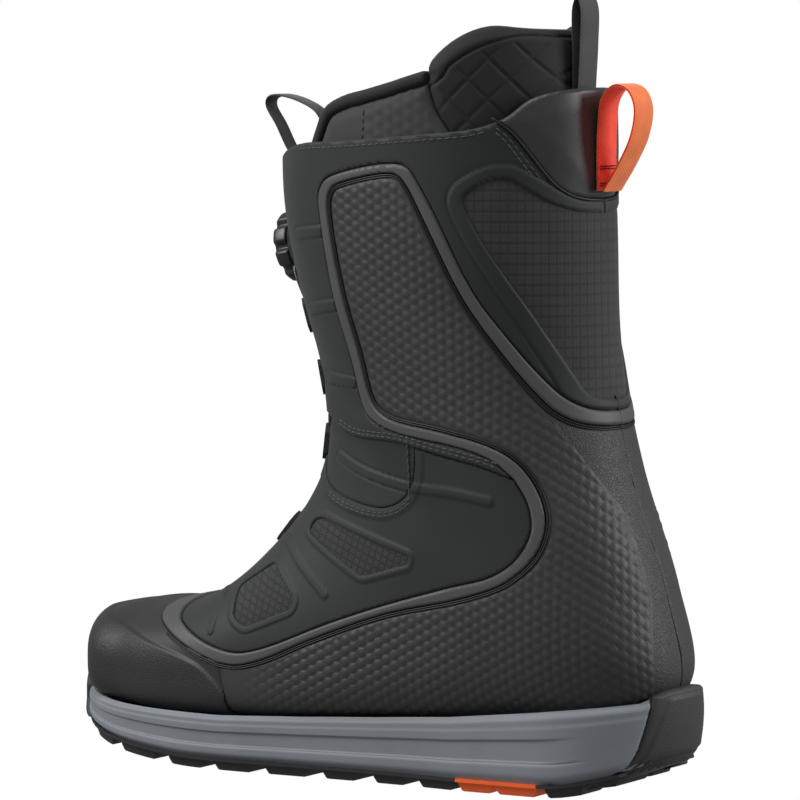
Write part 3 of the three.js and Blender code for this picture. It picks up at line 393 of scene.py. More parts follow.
def cut_grid(s_values, turns, level_at):
    """Both coordinates and the triangles of the part of a grid where level_at is above 0."""
    rows = len(s_values)
    columns = len(turns)
    s, turn = (grid.ravel() for grid in np.meshgrid(s_values, turns, indexing="ij"))
    level = level_at(s, turn)
    grid = level.reshape(rows, columns)
    best = np.full(grid.shape, 0.34)
    goal_s = s.reshape(grid.shape).copy()
    goal_turn = turn.reshape(grid.shape).copy()
    for axis, values, goal in ((0, s, goal_s), (1, turn, goal_turn)):
        place = values.reshape(grid.shape)
        for step in (1, -1):
            neighbour = np.roll(grid, -step, axis)
            edge = [slice(None), slice(None)]
            edge[axis] = slice(-1, None) if step == 1 else slice(0, 1)
            crosses = (grid * neighbour) < 0
            crosses[tuple(edge)] = False
            share = np.where(crosses, grid / np.where(crosses, grid - neighbour, 1), 1)
            closer = share < best
            best[closer] = share[closer]
            goal_s[closer] = s.reshape(grid.shape)[closer]
            goal_turn[closer] = turn.reshape(grid.shape)[closer]
            goal[closer] = (place + share * (np.roll(place, -step, axis) - place))[closer]
    snapped = (best < 0.34).ravel()
    s = goal_s.ravel()
    turn = goal_turn.ravel()
    level = np.where(snapped, 0.0, level)
    index = np.arange(rows * columns).reshape(rows, columns)
    a, b = index[:-1, :-1].ravel(), index[:-1, 1:].ravel()
    c, d = index[1:, :-1].ravel(), index[1:, 1:].ravel()
    triangles = np.concatenate([np.stack([a, b, c], 1), np.stack([b, d, c], 1)])
    signs = np.sign(level[triangles])
    whole = (signs >= 0).all(1) & (signs > 0).any(1)
    mixed = (signs > 0).any(1) & (signs < 0).any(1)
    faces = [triangles[whole]]
    extra = {}
    extra_s = []
    extra_turn = []

    def crossing(i, j):
        key = (min(i, j), max(i, j))
        if key not in extra:
            share = level[i] / (level[i] - level[j])
            extra[key] = len(level) + len(extra_s)
            extra_s.append(s[i] + share * (s[j] - s[i]))
            extra_turn.append(turn[i] + share * (turn[j] - turn[i]))
        return extra[key]

    cut = []
    for corners in triangles[mixed].tolist():
        polygon = []
        for i, j in zip(corners, corners[1:] + corners[:1]):
            if level[i] >= 0:
                polygon.append(i)
            if level[i] * level[j] < 0:
                polygon.append(crossing(i, j))
        for k in range(1, len(polygon) - 1):
            cut.append((polygon[0], polygon[k], polygon[k + 1]))
    if cut:
        faces.append(np.array(cut))
    faces = np.concatenate(faces)
    s = np.concatenate([s, extra_s])
    turn = np.concatenate([turn, extra_turn])
    used, faces = np.unique(faces, return_inverse=True)
    return s[used], turn[used], faces.reshape(-1, 3)


def closed_sheet(top, bottom, faces):
    """Vertices and faces of the closed solid between two sheets with the same triangles."""
    count = len(top)
    edges = np.concatenate([faces[:, [0, 1]], faces[:, [1, 2]], faces[:, [2, 0]]])
    ordered = np.sort(edges, axis=1)
    keys = ordered[:, 0] * count + ordered[:, 1]
    _, first, uses = np.unique(keys, return_index=True, return_counts=True)
    rim = edges[first[uses == 1]]
    walls = [(j, i, i + count, j + count) for i, j in rim.tolist()]
    all_faces = faces.tolist() + (faces[:, ::-1] + count).tolist() + walls
    return np.vstack([top, bottom]), all_faces


def skin(name, material, keep, height, inner, s_range, turn_range, step=0.9, depth=0.0):
    """Closed panel on the form: where keep is above 0, from inner under the form to height over it.

    height(points, normals, edge) gives millimetres over the form; edge is the distance from the rim.
    """
    s_low, s_high = s_range
    middle = np.linspace(s_low, s_high, 60)
    reach = np.max([
        np.linalg.norm(np.diff(form_points(middle, np.full(60, t), depth), axis=0), axis=1).sum()
        for t in (turn_range[0], sum(turn_range) / 2, turn_range[1])
    ])
    s_values = np.linspace(s_low, s_high, max(int(reach / step), 4))
    fine = np.linspace(turn_range[0], turn_range[1], 721)
    spans = [
        np.linalg.norm(np.diff(form_points(np.full(721, s), fine, depth), axis=0), axis=1)
        for s in np.linspace(s_low, s_high, 9)
    ]
    lengths = np.concatenate([[0], np.cumsum(np.max(spans, axis=0))])
    count = max(int(lengths[-1] / step), 4)
    turns = np.interp(np.linspace(0, lengths[-1], count), lengths, fine)
    s, turn, faces = cut_grid(s_values, turns, lambda a, b: keep(form_points(a, b)))
    points = form_points(s, turn, depth)
    normals = form_normals(s, turn, depth)
    edge = np.maximum(keep(form_points(s, turn)), 0)
    top = points + normals * height(points, normals, edge)[:, None]
    bottom = points - normals * inner
    vertices, all_faces = closed_sheet(top, bottom, faces)
    return new_object(name, vertices, all_faces, material)


def rolled(edge, radius):
    """How far a rounded border of that radius lies below the face beside it."""
    near = np.clip(radius - edge, 0, radius)
    return radius - np.sqrt(radius ** 2 - near ** 2)


def bump(distance, half_width, soft):
    """1 within half_width of a line, falling smoothly to 0 over soft."""
    return 1 - smooth_step(distance, half_width - soft / 2, half_width + soft / 2)


def side(points):
    return points[:, 1:]


NO_ROLL = 30.0    # makes the rolled edge vanish where the two sides meet


def keep_inside(outline, which=0, margin=0.0, others=()):
    """Test of a panel: inside a side-view outline, on one side (1 outer, -1 inner, 0 both)."""
    def keep(points):
        level = distance_to(outline, side(points), closed=True) + margin
        if which:
            level = np.minimum(level, which * points[:, 0] * NO_ROLL)
        for other in others:
            level = np.minimum(level, other(points))
        return level
    return keep


def outside(outline, margin=0.0):
    return lambda points: margin - distance_to(outline, side(points), closed=True)


def out_of_throat(points):
    front = np.where(points[:, 1] < 0, 0.0, 60.0)
    return front - distance_to(THROAT, points[:, [0, 2]], closed=True)


def below_top(points):
    return distance_to(SHELL_TOP, side(points), closed=True)


# ---------------------------------------------------------------- places on the form
def surface_lookup():
    """Dense points of the outer half of the form, to find a place from its side view."""
    s, turn = (g.ravel() for g in np.meshgrid(
        np.linspace(0.001, LAST_SECTION - 0.001, 420), np.linspace(0.02, math.pi - 0.02, 260), indexing="ij",
    ))
    return s, turn, side(form_points(s, turn))


LOOKUP = surface_lookup()


def places_on_side(line, which):
    """s and turn of the points of the form that a side-view line crosses."""
    all_s, all_turn, flat = LOOKUP
    line = np.asarray(line, float)
    near = np.array([np.argmin(((flat - p) ** 2).sum(1)) for p in line])
    s, turn = all_s[near].copy(), all_turn[near].copy()
    for _ in range(6):
        here = side(form_points(s, turn))
        ds = (side(form_points(s + 1e-4, turn)) - here) / 1e-4
        dt = (side(form_points(s, turn + 1e-4)) - here) / 1e-4
        miss = line - here
        area = ds[:, 0] * dt[:, 1] - ds[:, 1] * dt[:, 0]
        area = np.where(np.abs(area) < 1.0, np.copysign(1.0, area), area)
        step_s = (miss[:, 0] * dt[:, 1] - miss[:, 1] * dt[:, 0]) / area
        step_turn = (ds[:, 0] * miss[:, 1] - ds[:, 1] * miss[:, 0]) / area
        s = np.clip(s + np.clip(step_s, -0.01, 0.01), 0.001, LAST_SECTION - 0.001)
        turn = np.clip(turn + np.clip(step_turn, -0.08, 0.08), 0.002, math.pi - 0.002)
    return s, turn * which


def line_on_side(line, which, lift):
    """Points over the form, lift above it, under a side-view line, and the normals there."""
    s, turn = places_on_side(line, which)
    normals = form_normals(s, turn)
    return form_points(s, turn) + normals * lift, normals


# ---------------------------------------------------------------- cords and stitches
def tube(points, normals, radius, sides=8, closed=False):
    """Vertices and faces of a round cord through the points, with rounded ends."""
    points = np.asarray(points, float)
    ahead = np.gradient(points, axis=0)
    if closed:
        ahead = np.roll(points, -1, 0) - np.roll(points, 1, 0)
    ahead /= np.maximum(np.linalg.norm(ahead, axis=1, keepdims=True), 1e-9)
    across = np.cross(ahead, normals)
    across /= np.maximum(np.linalg.norm(across, axis=1, keepdims=True), 1e-9)
    up = np.cross(across, ahead)
    angles = 2 * math.pi * np.arange(sides) / sides
    rings = (
        points[:, None]
        + radius * np.cos(angles)[None, :, None] * across[:, None]
        + radius * np.sin(angles)[None, :, None] * up[:, None]
    )
    count = len(points)
    vertices = rings.reshape(-1, 3)
    faces = []
    for i in range(count if closed else count - 1):
        j = (i + 1) % count
        for k in range(sides):
            m = (k + 1) % sides
            faces.append((i * sides + k, j * sides + k, j * sides + m, i * sides + m))
    if not closed:
        tips = np.array([points[0] - ahead[0] * radius * 0.8, points[-1] + ahead[-1] * radius * 0.8])
        vertices = np.vstack([vertices, tips])
        last = (count - 1) * sides
        for k in range(sides):
            m = (k + 1) % sides
            faces.append((k, m, len(vertices) - 2))
            faces.append((last + m, last + k, len(vertices) - 1))
    return vertices, faces


def joined(parts):
    """One list of vertices and faces from many."""
    vertices = []
    faces = []
    start = 0
    for points, polygons in parts:
        vertices.append(points)
        faces.extend([tuple(i + start for i in polygon) for polygon in polygons])
        start += len(points)
    return np.vstack(vertices), faces


def stitch_row(line, which, lift, length=2.3, pitch=3.2, radius=0.24):
    """Thread showing along a side-view line: one short cord for each stitch."""
    path, places = resampled(line, 0.5)
    points, normals = line_on_side(path, which, lift)
    parts = []
    start = pitch / 2
    while start + length < places[-1]:
        spots = np.linspace(start, start + length, 4)
        stitch = np.stack([np.interp(spots, places, points[:, k]) for k in range(3)], 1)
        normal = np.stack([np.interp(spots, places, normals[:, k]) for k in range(3)], 1)
        stitch[[0, -1]] -= normal[[0, -1]] * radius * 1.3
        parts.append(tube(stitch, normal, radius, sides=6))
        start += pitch
    return joined(parts)


def shifted(line, distance):
    """The line moved sideways, to its left where distance is above 0."""
    line = np.asarray(line, float)
    ahead = np.gradient(line, axis=0)
    ahead /= np.maximum(np.linalg.norm(ahead, axis=1, keepdims=True), 1e-9)
    return line + distance * np.stack([-ahead[:, 1], ahead[:, 0]], axis=1)

# ---------------------------------------------------------------- material building blocks
def add_node(tree, kind, settings=None, **inputs):
    """Node of a kind; an input is a socket to link or a plain value."""
    node = tree.nodes.new(kind)
    for key, value in (settings or {}).items():
        setattr(node, key, value)
    for key, value in inputs.items():
        socket = node.inputs[int(key[1:])] if key[0] == "_" else node.inputs[key.replace("_", " ")]
        if isinstance(value, bpy.types.NodeSocket):
            tree.links.new(value, socket)
        else:
            socket.default_value = value
    return node


def start_group(name, inputs, outputs):
    """Empty shader node group with float inputs and named outputs."""
    group = bpy.data.node_groups.new(name, "ShaderNodeTree")
    for key, value in inputs.items():
        kind = "NodeSocketColor" if isinstance(value, tuple) else "NodeSocketFloat"
        socket = group.interface.new_socket(key, in_out="INPUT", socket_type=kind)
        socket.default_value = value
    for key, kind in outputs.items():
        group.interface.new_socket(key, in_out="OUTPUT", socket_type=kind)
    start = group.nodes.new("NodeGroupInput")
    end = group.nodes.new("NodeGroupOutput")
    return group, start.outputs, end.inputs


def maths(tree, operation, first, second=0.5):
    return add_node(tree, "ShaderNodeMath", {"operation": operation}, _0=first, _1=second).outputs[0]


def ramp_between(tree, value, low, high, to_low=0.0, to_high=1.0):
    node = add_node(tree, "ShaderNodeMapRange", {"interpolation_type": "SMOOTHSTEP"}, Value=value)
    for key, number in (("From Min", low), ("From Max", high), ("To Min", to_low), ("To Max", to_high)):
        node.inputs[key].default_value = number
    return node.outputs["Result"]


def mixed(tree, share, first, second):
    node = add_node(tree, "ShaderNodeMix", {"data_type": "RGBA"}, Factor=share)
    for socket, value in ((node.inputs["A"], first), (node.inputs["B"], second)):
        if isinstance(value, bpy.types.NodeSocket):
            tree.links.new(value, socket)
        else:
            socket.default_value = value
    return next(s for s in node.outputs if s.type == "RGBA")


def place_of(tree):
    return tree.nodes.new("ShaderNodeTexCoord").outputs["Object"]


def grain_group():
    """Pebbled leather grain: cells with soft valleys between them."""
    group, given, made = start_group(
        "leather_grain", {"Cells per metre": 900.0, "Unevenness": 0.5},
        {"Height": "NodeSocketFloat", "Valley": "NodeSocketFloat"},
    )
    place = place_of(group)
    waver = add_node(group, "ShaderNodeTexNoise", Vector=place, Scale=given["Cells per metre"], Detail=2.0)
    size = maths(group, "DIVIDE", given["Unevenness"], given["Cells per metre"])
    shift = add_node(group, "ShaderNodeVectorMath", {"operation": "SCALE"}, _0=waver.outputs["Color"])
    group.links.new(size, shift.inputs["Scale"])
    moved = add_node(group, "ShaderNodeVectorMath", {"operation": "ADD"}, _0=place, _1=shift.outputs[0])
    cells = add_node(
        group, "ShaderNodeTexVoronoi", {"feature": "DISTANCE_TO_EDGE"},
        Vector=moved.outputs[0], Scale=given["Cells per metre"],
    )
    height = ramp_between(group, cells.outputs["Distance"], 0.0, 0.22)
    group.links.new(height, made["Height"])
    group.links.new(maths(group, "SUBTRACT", 1.0, height), made["Valley"])
    return group


def weave_group():
    """Plain weave with a square ripstop grid, in the side view's plane."""
    group, given, made = start_group(
        "ripstop_weave", {"Threads per metre": 1400.0, "Grid per metre": 210.0, "Tilt": 0.0},
        {"Height": "NodeSocketFloat", "Grid": "NodeSocketFloat"},
    )
    spin = add_node(group, "ShaderNodeVectorRotate", {"rotation_type": "X_AXIS"}, Vector=place_of(group))
    group.links.new(given["Tilt"], spin.inputs["Angle"])
    place = add_node(group, "ShaderNodeSeparateXYZ", Vector=spin.outputs[0])
    crossways = maths(group, "ADD", place.outputs["Y"], maths(group, "MULTIPLY", place.outputs["X"], -0.8))
    waves = []
    bars = []
    for axis in (crossways, place.outputs["Z"]):
        turn = maths(group, "MULTIPLY", maths(group, "MULTIPLY", axis, given["Threads per metre"]), math.pi)
        waves.append(maths(group, "SINE", turn, 0.0))
        cell = maths(group, "FRACT", maths(group, "MULTIPLY", axis, given["Grid per metre"]), 0.0)
        off_middle = maths(group, "ABSOLUTE", maths(group, "SUBTRACT", cell, 0.5), 0.0)
        bars.append(ramp_between(group, off_middle, 0.1, 0.16, 1.0, 0.0))
    product = maths(group, "MULTIPLY", waves[0], waves[1])
    height = maths(group, "MULTIPLY_ADD", product, 0.5)
    height.node.inputs[2].default_value = 0.5
    group.links.new(height, made["Height"])
    group.links.new(maths(group, "MAXIMUM", bars[0], bars[1]), made["Grid"])
    return group


def tone_group():
    """Slight cloudy change of a colour, as in dyed or moulded material."""
    group, given, made = start_group(
        "uneven_tone", {"Color": (0.5, 0.5, 0.5, 1.0), "Amount": 0.15, "Scale": 30.0},
        {"Color": "NodeSocketColor", "Cloud": "NodeSocketFloat"},
    )
    cloud = add_node(
        group, "ShaderNodeTexNoise", Vector=place_of(group), Scale=given["Scale"], Detail=5.0, Roughness=0.6,
    )
    share = ramp_between(group, cloud.outputs["Fac"], 0.3, 0.7, -1.0, 1.0)
    level = maths(group, "MULTIPLY_ADD", share, given["Amount"])
    level.node.inputs[2].default_value = 1.0
    scaled = add_node(group, "ShaderNodeVectorMath", {"operation": "SCALE"}, _0=given["Color"])
    group.links.new(level, scaled.inputs["Scale"])
    group.links.new(scaled.outputs[0], made["Color"])
    group.links.new(cloud.outputs["Fac"], made["Cloud"])
    return group


def wear_group():
    """Paler convex edges where the piece is rubbed."""
    group, given, made = start_group(
        "edge_wear", {"Color": (0.5, 0.5, 0.5, 1.0), "Amount": 0.5, "Paler": 1.8},
        {"Color": "NodeSocketColor", "Mask": "NodeSocketFloat"},
    )
    point = group.nodes.new("ShaderNodeNewGeometry").outputs["Pointiness"]
    edge = ramp_between(group, point, 0.51, 0.56)
    patches = add_node(group, "ShaderNodeTexNoise", Vector=place_of(group), Scale=60.0, Detail=3.0)
    mask = maths(group, "MULTIPLY", edge, ramp_between(group, patches.outputs["Fac"], 0.35, 0.65, 0.3, 1.0))
    mask = maths(group, "MULTIPLY", mask, given["Amount"])
    scaled = add_node(group, "ShaderNodeVectorMath", {"operation": "SCALE"}, _0=given["Color"])
    group.links.new(given["Paler"], scaled.inputs["Scale"])
    group.links.new(mixed(group, mask, given["Color"], scaled.outputs[0]), made["Color"])
    group.links.new(mask, made["Mask"])
    return group


GROUPS = {"grain": grain_group(), "weave": weave_group(), "tone": tone_group(), "wear": wear_group()}


def use_group(tree, key, **inputs):
    return add_node(tree, "ShaderNodeGroup", {"node_tree": GROUPS[key]}, **inputs).outputs


class Finish:
    """A material being built: its tree, its shader and its worn, uneven base colour."""

    def __init__(self, name, color, roughness, amount=0.12, scale=40.0, wear=0.4, paler=1.7):
        self.material = bpy.data.materials.new(name)
        self.material.use_nodes = True
        self.tree = self.material.node_tree
        self.shader = self.tree.nodes["Principled BSDF"]
        self.shader.inputs["Roughness"].default_value = roughness
        tone = use_group(self.tree, "tone", Color=(*color, 1.0), Amount=amount, Scale=scale)
        self.cloud = tone["Cloud"]
        worn = use_group(self.tree, "wear", Color=tone["Color"], Amount=wear, Paler=paler)
        self.color = worn["Color"]
        self.height = None

    def darken(self, mask, amount):
        """Multiplies the colour by 1 - amount where mask is 1."""
        level = maths(self.tree, "SUBTRACT", 1.0, maths(self.tree, "MULTIPLY", mask, amount))
        scaled = add_node(self.tree, "ShaderNodeVectorMath", {"operation": "SCALE"}, _0=self.color)
        self.tree.links.new(level, scaled.inputs["Scale"])
        self.color = scaled.outputs[0]

    def raise_by(self, height, millimetres):
        """Adds a height between 0 and 1 to the bump, millimetres tall."""
        tall = maths(self.tree, "MULTIPLY", height, millimetres * MM)
        self.height = tall if self.height is None else maths(self.tree, "ADD", self.height, tall)

    def vary_roughness(self, value, low, high):
        roughness = ramp_between(self.tree, value, 0.0, 1.0, low, high)
        self.tree.links.new(roughness, self.shader.inputs["Roughness"])

    def done(self, **sockets):
        for key, value in sockets.items():
            self.shader.inputs[key.replace("_", " ")].default_value = value
        self.tree.links.new(self.color, self.shader.inputs["Base Color"])
        if self.height is not None:
            node = add_node(self.tree, "ShaderNodeBump", Height=self.height, Strength=1.0, Distance=1.0)
            self.tree.links.new(node.outputs["Normal"], self.shader.inputs["Normal"])
        return self.material


def moulded_pu(name, color, grain_depth, roughness=(0.42, 0.6)):
    """Moulded synthetic leather; the mesh's detail layer says where the grain is deep."""
    made = Finish(name, color, roughness[0], amount=0.06, scale=25.0, wear=0.25, paler=1.5)
    layer = add_node(made.tree, "ShaderNodeAttribute", {"attribute_name": "detail"}).outputs["Fac"]
    grain = use_group(made.tree, "grain", Cells_per_metre=850.0, Unevenness=0.6)
    depth = ramp_between(made.tree, layer, 0.0, 1.0, 0.25, 1.0)
    made.raise_by(maths(made.tree, "MULTIPLY", grain["Height"], depth), grain_depth)
    made.vary_roughness(made.cloud, *roughness)
    return made.done(Specular_IOR_Level=0.45)


def soft_pu():
    made = Finish(
        "soft_matt_pu", (0.0145, 0.0185, 0.0178), 0.62, amount=0.10, scale=28.0, wear=0.5, paler=1.45,
    )
    nap = add_node(made.tree, "ShaderNodeTexNoise", Vector=place_of(made.tree), Scale=1500.0, Detail=3.0)
    made.raise_by(nap.outputs["Fac"], 0.035)
    made.vary_roughness(made.cloud, 0.55, 0.7)
    return made.done(Sheen_Weight=0.12, Sheen_Roughness=0.5, Specular_IOR_Level=0.4)


def woven_fabric(name, color, threads=1500.0, grid=230.0, tilt=0.0, darker=0.35):
    made = Finish(name, color, 0.75, amount=0.12, scale=60.0, wear=0.0)
    weave = use_group(made.tree, "weave", Threads_per_metre=threads, Grid_per_metre=grid, Tilt=tilt)
    made.darken(weave["Grid"], darker)
    made.raise_by(weave["Height"], 0.10)
    made.raise_by(weave["Grid"], -0.12)
    return made.done(Sheen_Weight=0.15, Sheen_Roughness=0.4)


def plain_plastic(name, color, roughness, wear=0.5, bump_depth=0.02, **sockets):
    made = Finish(name, color, roughness, amount=0.08, scale=80.0, wear=wear, paler=1.9)
    fine = add_node(made.tree, "ShaderNodeTexNoise", Vector=place_of(made.tree), Scale=2200.0, Detail=2.0)
    made.raise_by(fine.outputs["Fac"], bump_depth)
    made.vary_roughness(made.cloud, roughness - 0.06, roughness + 0.1)
    return made.done(**sockets)


def webbing(name, color, paler=1.5):
    made = Finish(name, color, 0.7, amount=0.1, scale=120.0, wear=0.5, paler=paler)
    weave = use_group(made.tree, "weave", Threads_per_metre=1100.0, Grid_per_metre=550.0, Tilt=0.0)
    made.raise_by(weave["Height"], 0.12)
    return made.done(Sheen_Weight=0.2)


def eva_foam():
    made = Finish("moulded_foam", (0.222, 0.240, 0.268), 0.55, amount=0.05, scale=30.0, wear=0.3, paler=1.35)
    skin_grain = use_group(made.tree, "grain", Cells_per_metre=1300.0, Unevenness=0.8)
    made.raise_by(skin_grain["Height"], 0.03)
    made.vary_roughness(made.cloud, 0.5, 0.68)
    return made.done(Specular_IOR_Level=0.4)


def steel_wire():
    made = Finish("braided_steel", (0.12, 0.12, 0.125), 0.35, amount=0.15, scale=200.0, wear=0.2)
    place = add_node(made.tree, "ShaderNodeSeparateXYZ", Vector=place_of(made.tree))
    lay = maths(made.tree, "ADD", place.outputs["X"], maths(made.tree, "MULTIPLY", place.outputs["Z"], 1.4))
    strands = maths(made.tree, "SINE", maths(made.tree, "MULTIPLY", lay, 7000.0), 0.0)
    made.raise_by(ramp_between(made.tree, strands, -1.0, 1.0), 0.05)
    return made.done(Metallic=1.0)


MATERIALS = {
    "grained_pu": moulded_pu("grained_pu", (0.025, 0.025, 0.026), 0.055),
    "honeycomb_pu": moulded_pu("honeycomb_pu", (0.040, 0.040, 0.041), 0.10),
    "band_pu": moulded_pu("band_pu", (0.078, 0.078, 0.080), 0.05),
    "smooth_pu": soft_pu(),
    "satin_pu": plain_plastic("satin_pu", (0.035, 0.036, 0.038), 0.34, wear=0.2),
    "woven": woven_fabric("ripstop_fabric", (0.031, 0.031, 0.032)),
    "window_mesh": woven_fabric("window_mesh", (0.024, 0.025, 0.026), 1500.0, 330.0, 0.35, 0.55),
    "stiffener": plain_plastic("stiff_sheet", (0.02, 0.02, 0.022), 0.5),
    "liner_grey": woven_fabric("liner_grey_fabric", (0.038, 0.038, 0.039), 1700.0, 1.0, 0.0, 0.0),
    "liner_black": woven_fabric("liner_black_fabric", (0.0055, 0.0055, 0.006), 1700.0, 1.0, 0.0, 0.0),
    "rubber": plain_plastic("black_rubber", (0.022, 0.022, 0.024), 0.6, wear=0.5, bump_depth=0.03),
    "wrap_rubber": moulded_pu("wrap_rubber", (0.046, 0.046, 0.047), 0.2, (0.5, 0.65)),
    "orange_rubber": plain_plastic("orange_rubber", (1.0, 0.14, 0.02), 0.45, wear=0.1),
    "foam": eva_foam(),
    "orange_webbing": webbing("orange_webbing", (1.0, 0.21, 0.045), 1.15),
    "red_webbing": webbing("red_webbing", (1.0, 0.085, 0.03), 1.15),
    "grey_webbing": webbing("grey_webbing", (0.035, 0.036, 0.038)),
    "dial_plastic": plain_plastic("dial_plastic", (0.018, 0.019, 0.021), 0.38, wear=0.6),
    "steel_cable": steel_wire(),
    "thread": webbing("thread", (0.055, 0.058, 0.058)),
    # Near-black: real black cord and thread, and painted shade of the grooves beside the seam bands.
    "black_cord_and_groove_shade": plain_plastic("black_cord_and_groove_shade_rubber", (0.006, 0.006, 0.0065), 0.5, wear=0.1),
}

# ---------------------------------------------------------------- outer panels
SIDES = (("outer", 1), ("inner", -1))
PANEL = 2.2          # thickness of an outer panel
SEAM = 0.15          # half the gap between neighbours
ALL_ROUND = (-math.pi, math.pi)
BEHIND = (0.0, 2 * math.pi)
HALF = {1: (0.0, math.pi), -1: (-math.pi, 0.0)}
TOE_RIDGE = smooth_line([
    [-170, 61.5], [-136, 61], [-111, 56], [-95, 52], [-73, 47], [-63, 43], [-52, 33], [-45, 20],
])
COMB_PITCH = 4.6
COMB_HEIGHT = 0.52
INNER_COMB_SHORTER = 16.0    # the relief ends earlier on the inner side
COMB_END = np.array([[150, 101], [148, 103], [131, 113.5], [114, 123], [82, 134.5], [46, 139.5], [20, 142]])


def arc_behind():
    """How much longer the way round the heel is than it looks from the side."""
    levels = np.linspace(20, 320, 61)
    turns = np.linspace(math.pi / 2, math.pi, 90)
    s_values = np.linspace(0.2, LAST_SECTION, 200)
    spots = []
    for turn in turns:
        column = form_points(s_values, np.full(len(s_values), turn))
        s = np.interp(levels, column[:, 2], s_values)
        spots.append(form_points(s, np.full(len(levels), turn)))
    spots = np.array(spots)
    steps = np.diff(spots, axis=0)
    extra = np.maximum(np.hypot(steps[..., 0], steps[..., 1]) - np.abs(steps[..., 1]), 0)
    extra = np.concatenate([np.zeros((1, len(levels))), np.cumsum(extra, axis=0)])
    return levels, spots[..., 1], extra


ARC_LEVELS, ARC_Y, ARC_EXTRA = arc_behind()


def way_round(points):
    """Distance along the side towards the heel, at the same height, instead of plain y."""
    y = points[:, 1]
    row = np.interp(points[:, 2], ARC_LEVELS, np.arange(len(ARC_LEVELS)))
    low = np.floor(row).astype(int)
    low = np.minimum(low, len(ARC_LEVELS) - 2)
    share = row - low
    extra = np.zeros(len(points))
    for level in np.unique(low):
        here = low == level
        below = np.interp(y[here], ARC_Y[:, level], ARC_EXTRA[:, level])
        above = np.interp(y[here], ARC_Y[:, level + 1], ARC_EXTRA[:, level + 1])
        extra[here] = below + share[here] * (above - below)
    return y + extra


def comb_cells(u, v, pitch):
    """Distance from the border of the hexagonal cell that holds each point."""
    column = pitch * math.sqrt(3) / 2
    best = np.full(len(u), 1e9)
    centre_u = np.zeros(len(u))
    centre_v = np.zeros(len(u))
    base = np.floor(u / column)
    for k in (-1, 0, 1, 2):
        cu = (base + k) * column
        offset = np.where((base + k) % 2 == 0, 0.0, pitch / 2)
        cv = np.round((v - offset) / pitch) * pitch + offset
        distance = (u - cu) ** 2 + (v - cv) ** 2
        closer = distance < best
        best[closer] = distance[closer]
        centre_u[closer] = cu[closer]
        centre_v[closer] = cv[closer]
    du = u - centre_u
    dv = v - centre_v
    slanted = du * math.cos(math.pi / 6)
    across = [np.abs(dv), np.abs(slanted + dv / 2), np.abs(slanted - dv / 2)]
    return pitch / 2 - np.max(across, axis=0)


def set_detail(piece, values):
    """Layer named detail: how strongly the material's grain shows at each vertex."""
    layer = piece.data.attributes.new("detail", "FLOAT", "POINT")
    layer.data.foreach_set("value", np.asarray(values, np.float32))


def vertex_points(piece):
    flat = np.empty(len(piece.data.vertices) * 3, np.float32)
    piece.data.vertices.foreach_get("co", flat)
    return flat.reshape(-1, 3).astype(float) / MM


def under_ridge(points):
    """Positive below the ridge of the toe guard."""
    distance = distance_to(TOE_RIDGE, side(points))
    return np.where(points[:, 2] < np.interp(points[:, 1], *TOE_RIDGE.T), distance, -distance)


def toe_height(points, normals, edge):
    level = under_ridge(points)
    guard = 0.95 * smooth_step(level, -0.4, 1.0)
    return guard - 0.25 - rolled(edge, 0.3)


def make_toe_cap():
    piece = skin(
        "toe_cap_shell", MATERIALS["grained_pu"],
        keep_inside(TOE_OUTLINE, 0, 0.0, (lambda p: p[:, 2] - np.interp(p[:, 1], *RIM_LINE.T) + TUCK,)),
        toe_height, PANEL, (0.0, 0.45), ALL_ROUND, step=1.0,
    )
    set_detail(piece, smooth_step(under_ridge(vertex_points(piece)), -0.5, 2.0))
    settle(piece, "boot", ("toe_cap",))


def way_round_limit():
    turn_points = COMB_END[:, ::-1]
    s, turn = places_on_side(turn_points, 1)
    return way_round(form_points(s, turn))


COMB_LIMIT = way_round_limit()


def quarter_height(points, normals, edge):
    along = way_round(points)
    cells = comb_cells(along, points[:, 2], COMB_PITCH)
    limit = np.interp(-points[:, 2], -COMB_END[:, 0], COMB_LIMIT)
    limit = limit - np.where(points[:, 0] < 0, INNER_COMB_SHORTER, 0)
    rear = 1 - smooth_step(along, limit - 0.6, limit + 0.6)
    front = smooth_step(points[:, 1], -52, -10)
    share = rear * front * smooth_step(edge, 1.6, 4.0)
    dome = np.clip(cells / (COMB_PITCH / 2), 0, 1)
    dome = 1 - (1 - dome) ** 2
    groove = 0.35 * bump(np.abs(edge - 1.1), 0.7, 0.5)
    return -0.25 + COMB_HEIGHT * share * dome - groove - rolled(edge, 0.3)


def above_rim(points):
    return points[:, 2] - np.interp(points[:, 1], *RIM_LINE.T) + TUCK


def make_quarters():
    for label, which in SIDES:
        piece = skin(
            "quarter_panel_" + label, MATERIALS["honeycomb_pu"],
            keep_inside(QUARTER_OUTLINE, which, -SEAM, (above_rim, below_top, out_of_throat)),
            quarter_height, PANEL, (0.18, 1.06), HALF[which], step=0.95,
        )
        points = vertex_points(piece)
        limit = np.interp(-points[:, 2], -COMB_END[:, 0], COMB_LIMIT)
        set_detail(piece, smooth_step(way_round(points), limit - 0.5, limit + 1.5))
        settle(piece, "boot", ("quarter_" + label,))


def band_height(points, normals, edge):
    return 0.65 - rolled(edge, 1.1)


